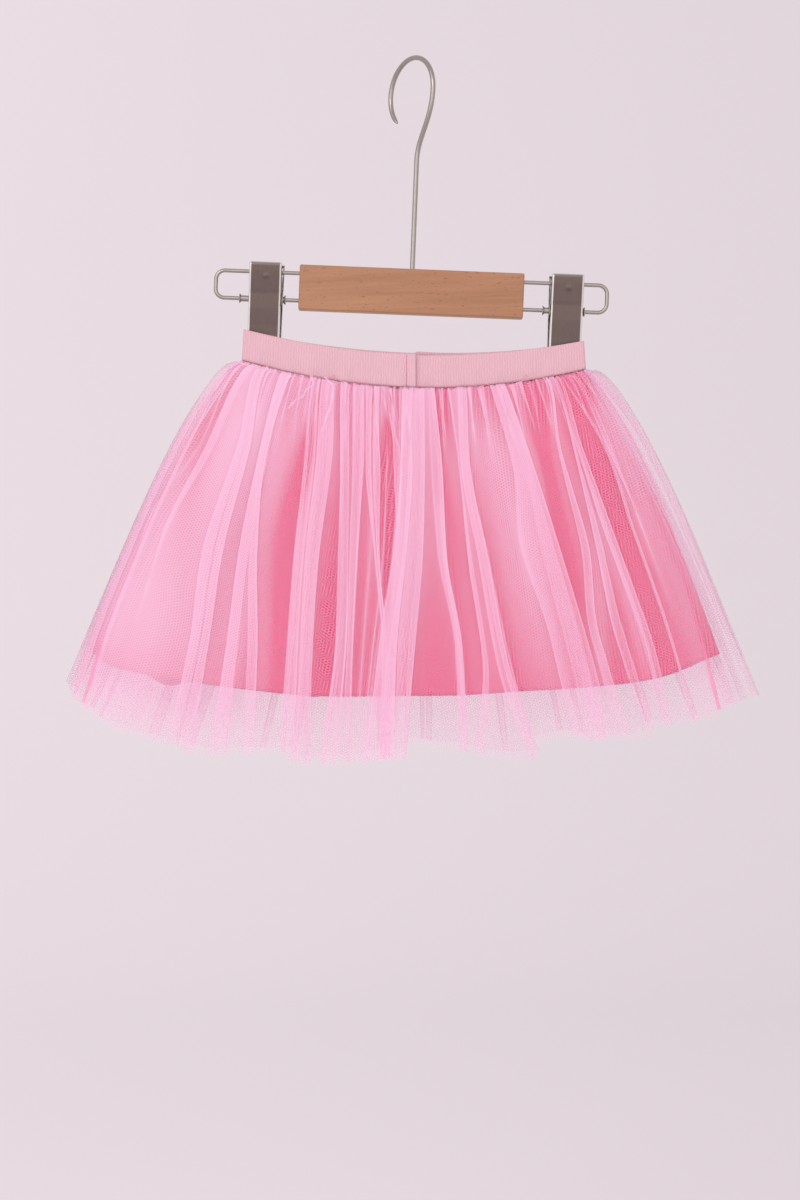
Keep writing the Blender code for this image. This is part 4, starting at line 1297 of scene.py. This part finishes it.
def band_wall(tau, down, off=0.0):
    """Points of the elastic's middle surface, or that far outside it."""
    across, back = around(tau)
    top = band_edge(across, False, back)
    low = band_edge(across, True, back)
    rise = LAP_RISE * np.interp(tau, LAP_RAMP, (0, 1)) + off
    depth = half_depth(across, np.zeros_like(across), rise)
    x = BAND_X + (BAND_HALF + off) * across
    bulge = np.where(back, 0.0, BAND_BULGE * (1 - across * across))
    return np.stack((x, MID_Y + np.where(back, depth, -depth - bulge), top + (low - top) * down))


def shaped_band(tau, down, run):
    """The elastic's middle surface, with its lap's turned end and stitch line and the pull of the gathers."""
    wall = band_wall(tau, down)
    x = wall[0]
    lap = (tau > 4.5).astype(float)
    turned = LAP_TURNED * soft_step(x - STITCH_X - 0.0006, 0.00025)
    groove = STITCH_GROOVE * np.exp(-(((x - STITCH_X) / 0.0006) ** 2))
    pull = GATHER_PULL * down**2 * (np.sin(run / 0.0034) + np.sin(run / 0.0021 + 1.3))
    roll = EDGE_ROLL * (np.exp(-down / 0.05) + np.exp(-(1 - down) / 0.05))
    across, back = around(tau)
    out = np.where(back, 1.0, -1.0) * np.sqrt(np.maximum(0, 1 - across**8))
    wall[1] += out * (lap * (turned + groove) + pull + roll)
    # the top edges part right of the lap, where the elastic sags, and draw in a little at the sides
    sag = np.where(back, *BAND_SAG) * np.clip((x - 0.001) / 0.002, 0, 1) * np.exp(-np.maximum(x, 0) / 0.022)
    wall[2] += sag * (1 - lap) * (1 - down)
    wall[0] *= 1 - BAND_TAPER * (1 - down)
    return wall


class SKORT_OT_waistband(Operator):
    """Build the elastic, lapped at the centre front, with its stitching and three loose threads"""

    bl_idname = "skort.waistband"
    bl_label = "Waistband"

    def execute(self, context):
        cloth = settings().cloth
        last = 4 + band_tau(LAP_OVER_X)
        fine_from = 4 + band_tau(STITCH_X - 0.004)
        tau = np.linspace(band_tau(LAP_UNDER_X), fine_from, 380, endpoint=False)
        tau = np.concatenate((tau, np.linspace(fine_from, last, 44)))
        tau, down = np.meshgrid(tau, np.linspace(0, 1, 15))
        run = run_along(band_wall(tau, down)[:2, 7])
        height = (band_edge(0, False, False) - band_edge(0, True, False)) * down
        uv = np.stack((np.broadcast_to(run, tau.shape), height))
        mesh, _ = surface("elastic", shaped_band(tau, down, run), uv)
        piece = add_piece("elastic_waistband", mesh, elastic_material(cloth), "ribbed_elastic", ["waistband"])
        add_shell(piece, cloth.band_wall)
        threads = self.add_threads(cloth)
        return {"FINISHED"}

    def add_threads(self, cloth):
        """The lap's line of stitching, and the loose ends of thread at the lower edge."""
        look = thread_material("spun_polyester_thread", cloth.stitch_colour)
        way = np.linspace(0.03, 0.97, 60)
        x = STITCH_X + 0.0007 * (0.5 - way)
        wall = band_wall(np.array([4 + band_tau(a) for a in x]), way, 0.0006)
        dips = 0.0002 * np.sin(way * 60)
        mesh = wire_mesh("lap_stitching", np.stack((x, wall[1] + dips, wall[2])).T, cloth.thread, 2)
        threads = [add_piece("lap_stitching", mesh, look, None)]
        for i, path in enumerate(LOOSE_THREADS, 1):
            x, down, off = curve_through(path, 24)
            wall = band_wall(np.array([band_tau(a) for a in x]), np.ones_like(x))
            points = np.stack((x, wall[1] - off, wall[2] - down)).T
            mesh = wire_mesh(f"loose_thread_{i}", points, cloth.thread * LOOSE_THREAD_SHARE, 2)
            threads.append(add_piece(f"loose_thread_{i}", mesh, look, None))
        return threads


# ---- skirt ----


def on_outer_net(tau, drop, off):
    """Points that far off the outer net's wall, and the level directions along it."""
    out, _ = outward(TULLE_OUTER, tau, drop)
    return skirt_wall(TULLE_OUTER, tau, drop) + out * off, np.stack((-out[1], out[0], out[2]))


class SKORT_OT_tulle(Operator):
    """Build the two layers of tulle, each a front and a back panel"""

    bl_idname = "skort.tulle"
    bl_label = "Tulle"

    def execute(self, context):
        cloth = settings().cloth
        outer = net_material("outer_polyester_tulle", cloth, 4.0)
        under = net_material("under_polyester_tulle", cloth, 11.0)
        panels = (
            ("outer_tulle_front", "tulle_outer_front", TULLE_OUTER, OUTER_PLEATS, 0, 3, True, outer),
            ("outer_tulle_back", "tulle_outer_back", TULLE_OUTER, None, 14, 5, True, outer),
            ("under_tulle_front", "tulle_under_front", TULLE_UNDER, UNDER_PLEATS, 0, 8, False, under),
            ("under_tulle_back", "tulle_under_back", TULLE_UNDER, None, 8, 11, False, under),
        )
        for name, node, layer, pleats, count, seed, lip, look in panels:
            left, right = TULLE_SEAMS if lip else UNDER_SEAMS
            if pleats is None:
                ends = (right, tuple(4 + tau for tau in left))
                rng = np.random.default_rng(seed + 100)
                lines = scattered_pleats(layer, max(ends[0]) + 0.10, min(ends[1]) - 0.30, count, rng)
            else:
                ends = (left, right)
                lines = placed_pleats(layer, pleats)
            part = OUTER_SHARE if lip else UNDER_SHARE
            bunched = [
                (line, half_width, tuple(n * part if n > 0 else n for n in layers))
                for line, half_width, layers in BUNCHED
            ]
            mesh, width = net_sheet(name, layer, ends, lines, seed, lip, bunched, cloth)
            piece = add_piece(name, mesh, look, "tulle", [node])
        on_front = self.add_seams(cloth) + self.add_turned_edges(cloth)
        return {"FINISHED"}

    def add_seams(self, cloth):
        """The side seams: both panels' edges turned in together, which reads as a darker line."""
        look = net_material("seamed_tulle", cloth, 30.0, cloth.seam_colour)
        pieces = []
        for side_name, rows, layers in zip(("left", "right"), TULLE_SEAMS, SEAM_LAYERS):
            share = np.linspace(0.01, 0.985, 90)
            tau = smooth_curve(np.array(ROWS_AT), np.array([rows]), share)[0]
            drop = share * hem_length(around(tau)[0], TULLE_HEM)
            wall, side = on_outer_net(tau, drop, SEAM_OFF)
            width = SEAM_WIDTH + SEAM_FRAY * soft_step(share - SEAM_FRAYS_FROM, 0.015)
            width = width * (1 + 0.15 * np.sin(share * 70))
            name = f"side_seam_{side_name}"
            mesh = strip_mesh(name, wall, side, width, 0.5, layers)
            pieces.append(add_piece(name, mesh, look, "tulle"))
        return pieces

    def add_turned_edges(self, cloth):
        """Two raw edges of the net that turn out below the band, left of the middle."""
        look = net_material("turned_tulle_edge", cloth, 50.0)
        pieces = []
        for side_name, path in TURNED_EDGES.items():
            x, down, off = curve_through(path, 60)
            drop = np.maximum(down, 0.0)
            tau = np.array([float(tau_of(TULLE_OUTER, a, b / FULL_DROP)) for a, b in zip(x, drop)])
            wall, side = on_outer_net(tau, drop, off)
            wall[2] -= np.minimum(down, 0.0)
            crinkle = 1 + 0.35 * np.sin(np.linspace(0, 23, 60)) + 0.2 * np.sin(np.linspace(1, 60, 60))
            name = f"turned_edge_{side_name}"
            mesh = strip_mesh(name, wall, side, TURNED_WIDTH * crinkle, 0.7, TURNED_LAYERS)
            pieces.append(add_piece(name, mesh, look, "tulle"))
        return pieces


def lining_wall(tau, drop):
    """The lining's surface, with soft flutes of its own."""
    flute = np.sin(9.0 * tau + 0.7) + 0.6 * np.sin(15.0 * tau + 2.1) + 0.4 * np.sin(27.0 * tau)
    height = FLUTE_HEIGHT * drop / FULL_DROP * flute * away_from_sides(around(tau)[0])
    return skirt_wall(LINING, tau, drop) + outward(LINING, tau, drop)[0] * height


def add_hung_cloth(name, place, drop, measured_row, look, slot, node, wall):
    """Add a plain piece of cloth; gives the piece, and its width along the row that is measured."""
    run = run_along(place[:2, measured_row])
    mesh, _ = surface(name, place, np.stack((np.broadcast_to(run, drop.shape), drop)) + UV_MARGIN)
    piece = add_piece(name, mesh, look, slot, [node])
    add_shell(piece, wall)
    return piece, float(run[-1])


class SKORT_OT_lining(Operator):
    """Build the lining's two panels and the two legs of the shorts"""

    bl_idname = "skort.lining"
    bl_label = "Lining and shorts"

    def execute(self, context):
        cloth = settings().cloth
        look = woven_material("woven_polyester_lining", cloth.lining_colour, 0.9, 0.55, 0.3, 0.0002)
        left, right = LINING_SEAMS
        for name, node, ends, columns in (
            ("front_lining", "lining_front", (left, right), 230),
            ("back_lining", "lining_back", (right, 4 + left), 260),
        ):
            tau = np.linspace(ends[0] + LINING_GAP, ends[1] - LINING_GAP, columns + 1)
            tau, share = np.meshgrid(tau, np.linspace(0, 1, 61))
            across, _ = around(tau)
            full = hem_length(across, LINING_HEM)
            if node == "lining_back":
                x = skirt_x(LINING, across, full)
                for middle, width, low in LINING_BACK_DIPS:
                    full = full + low * np.exp(-(((x - middle) / width) ** 2))
            drop = share * full
            place = lining_wall(tau, drop)
            piece, width = add_hung_cloth(name, place, drop, -1, look, "lining", node, cloth.lining_wall)
        self.add_shorts(cloth)
        return {"FINISHED"}

    def add_shorts(self, cloth):
        look = woven_material("knit_jersey", cloth.jersey_colour, 1.2, 0.85, 0.4, 0.0003)
        for side_name, side in (("left", -1), ("right", 1)):
            t, drop = np.meshgrid(np.linspace(0, 2, 97), np.linspace(0, SHORTS_ROWS[-1][0], 50))
            inner = table(SHORTS_ROWS, drop, 1)
            closed = table(SHORTS_ROWS, drop, 2)
            front = t <= 1
            s = np.where(front, t, 2 - t)
            off = SHORTS.off_band + (SHORTS.off_hem - SHORTS.off_band) * drop / FULL_DROP
            half_width = BAND_HALF + off + drop * math.sin(math.radians(SHORTS.lean_left))
            reach = np.sin(np.pi / 2 * s)
            reach = reach + ((1 - np.cos(np.pi * s)) / 2 - reach) * closed
            across = side * (inner + (half_width - inner) * reach) / half_width
            round_in = np.sin(np.pi / 2 * np.minimum(1.0, 2 * s)) ** SHORTS_LEG_SQUARENESS
            squeeze = 1 + (round_in - 1) * closed
            depth = half_depth(across, drop, off) * squeeze
            bulge = table(DEPTH_ROWS, drop, 4) * (1 - across * across) * squeeze
            seam = SEAM_GAP / 2 * closed
            y = np.where(front, MID_Y - depth - bulge - seam, MID_Y + depth + seam)
            z = band_edge(across, True, ~front) - BAND_SEAM - drop
            place = np.stack((BAND_X + across * half_width, y, z))
            name, node = f"short_leg_{side_name}", f"shorts_{side_name}"
            row = SHORTS_MEASURED_ROW
            piece, width = add_hung_cloth(name, place, drop, row, look, "jersey", node, cloth.jersey_wall)


# ---- stage ----


class SKORT_OT_stage(Operator):
    """Build the pale sweep, the soft lights and the camera"""

    bl_idname = "skort.stage"
    bl_label = "Stage"

    def execute(self, context):
        stage = settings().stage
        scene = context.scene
        bm = bmesh.new()
        inner = SWEEP_RADIUS - SWEEP_CORNER
        profile = [(0.0, FLOOR_Z), (inner, FLOOR_Z)]
        for angle in np.radians(np.linspace(10, 90, 9)):
            up = SWEEP_CORNER * (1 - math.cos(angle))
            profile.append((inner + SWEEP_CORNER * math.sin(angle), FLOOR_Z + up))
        profile.append((SWEEP_RADIUS, SWEEP_TOP))
        verts = [bm.verts.new((r, 0, z)) for r, z in profile]
        edges = [bm.edges.new(pair) for pair in zip(verts, verts[1:])]
        spun(bm, verts + edges, (0, 0, 1), 64)
        mesh = finished("sweep", bm)
        mesh.shade_smooth()
        mesh.materials.append(plaster_material(stage.backdrop_colour))
        sweep = bpy.data.objects.new("pale_sweep", mesh)
        scene.collection.objects.link(sweep)
        sweep.visible_diffuse = False
        sweep.visible_glossy = False
        sweep.visible_shadow = False

        world = bpy.data.worlds.new("soft_room")
        world.use_nodes = True
        background = world.node_tree.nodes["Background"]
        background.inputs["Color"].default_value = (*ROOM_TINT, 1.0)
        background.inputs["Strength"].default_value = stage.light_strength
        scene.world = world
        for name, spot, share, size in LAMPS:
            lamp = bpy.data.lights.new(name, "AREA")
            lamp.energy = stage.key_power * share
            lamp.size = size
            holder = bpy.data.objects.new(name, lamp)
            holder.location = spot
            aim = Vector(LAMPS_AIM) - Vector(spot)
            holder.rotation_euler = aim.to_track_quat("-Z", "Y").to_euler()
            scene.collection.objects.link(holder)

        lens = bpy.data.cameras.new("camera")
        lens.lens = stage.lens
        lens.sensor_width = 36
        lens.dof.use_dof = False
        camera = bpy.data.objects.new("camera", lens)
        camera.location = (stage.camera_side, BAR_Y - stage.camera_distance, stage.camera_height)
        camera.rotation_euler = (math.pi / 2, 0, 0)
        scene.collection.objects.link(camera)
        scene.camera = camera
        scene.view_settings.view_transform = "Standard"
        scene.cycles.transparent_max_bounces = NET_LAYERS_SEEN_THROUGH
        return {"FINISHED"}


class SKORT_PT_panel(Panel):
    bl_idname = "SKORT_PT_panel"
    bl_label = "Skort on clip hanger"
    bl_space_type = "VIEW_3D"
    bl_region_type = "UI"
    bl_category = "Skort"

    def draw(self, context):
        made = context.scene.skort
        for group in (made.cloth, made.hanger, made.stage):
            box = self.layout.box()
            for key in group.__annotations__:
                box.prop(group, key)
        for operator in OPERATORS:
            self.layout.operator(operator.bl_idname)


GROUPS = (SkortCloth, SkortHanger, SkortStage, SkortSettings)
OPERATORS = (
    SKORT_OT_hanger,
    SKORT_OT_clips,
    SKORT_OT_waistband,
    SKORT_OT_tulle,
    SKORT_OT_lining,
    SKORT_OT_stage,
)


def register():
    for made in (*GROUPS, *OPERATORS, SKORT_PT_panel):
        bpy.utils.register_class(made)
    bpy.types.Scene.skort = PointerProperty(type=SkortSettings)


def unregister():
    del bpy.types.Scene.skort
    for made in reversed((*GROUPS, *OPERATORS, SKORT_PT_panel)):
        bpy.utils.unregister_class(made)


def main():
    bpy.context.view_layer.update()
    register()
    bpy.ops.skort.hanger()
    bpy.ops.skort.clips()
    bpy.ops.skort.waistband()
    bpy.ops.skort.tulle()
    bpy.ops.skort.lining()
    bpy.ops.skort.stage()


if __name__ == "__main__":
    main()
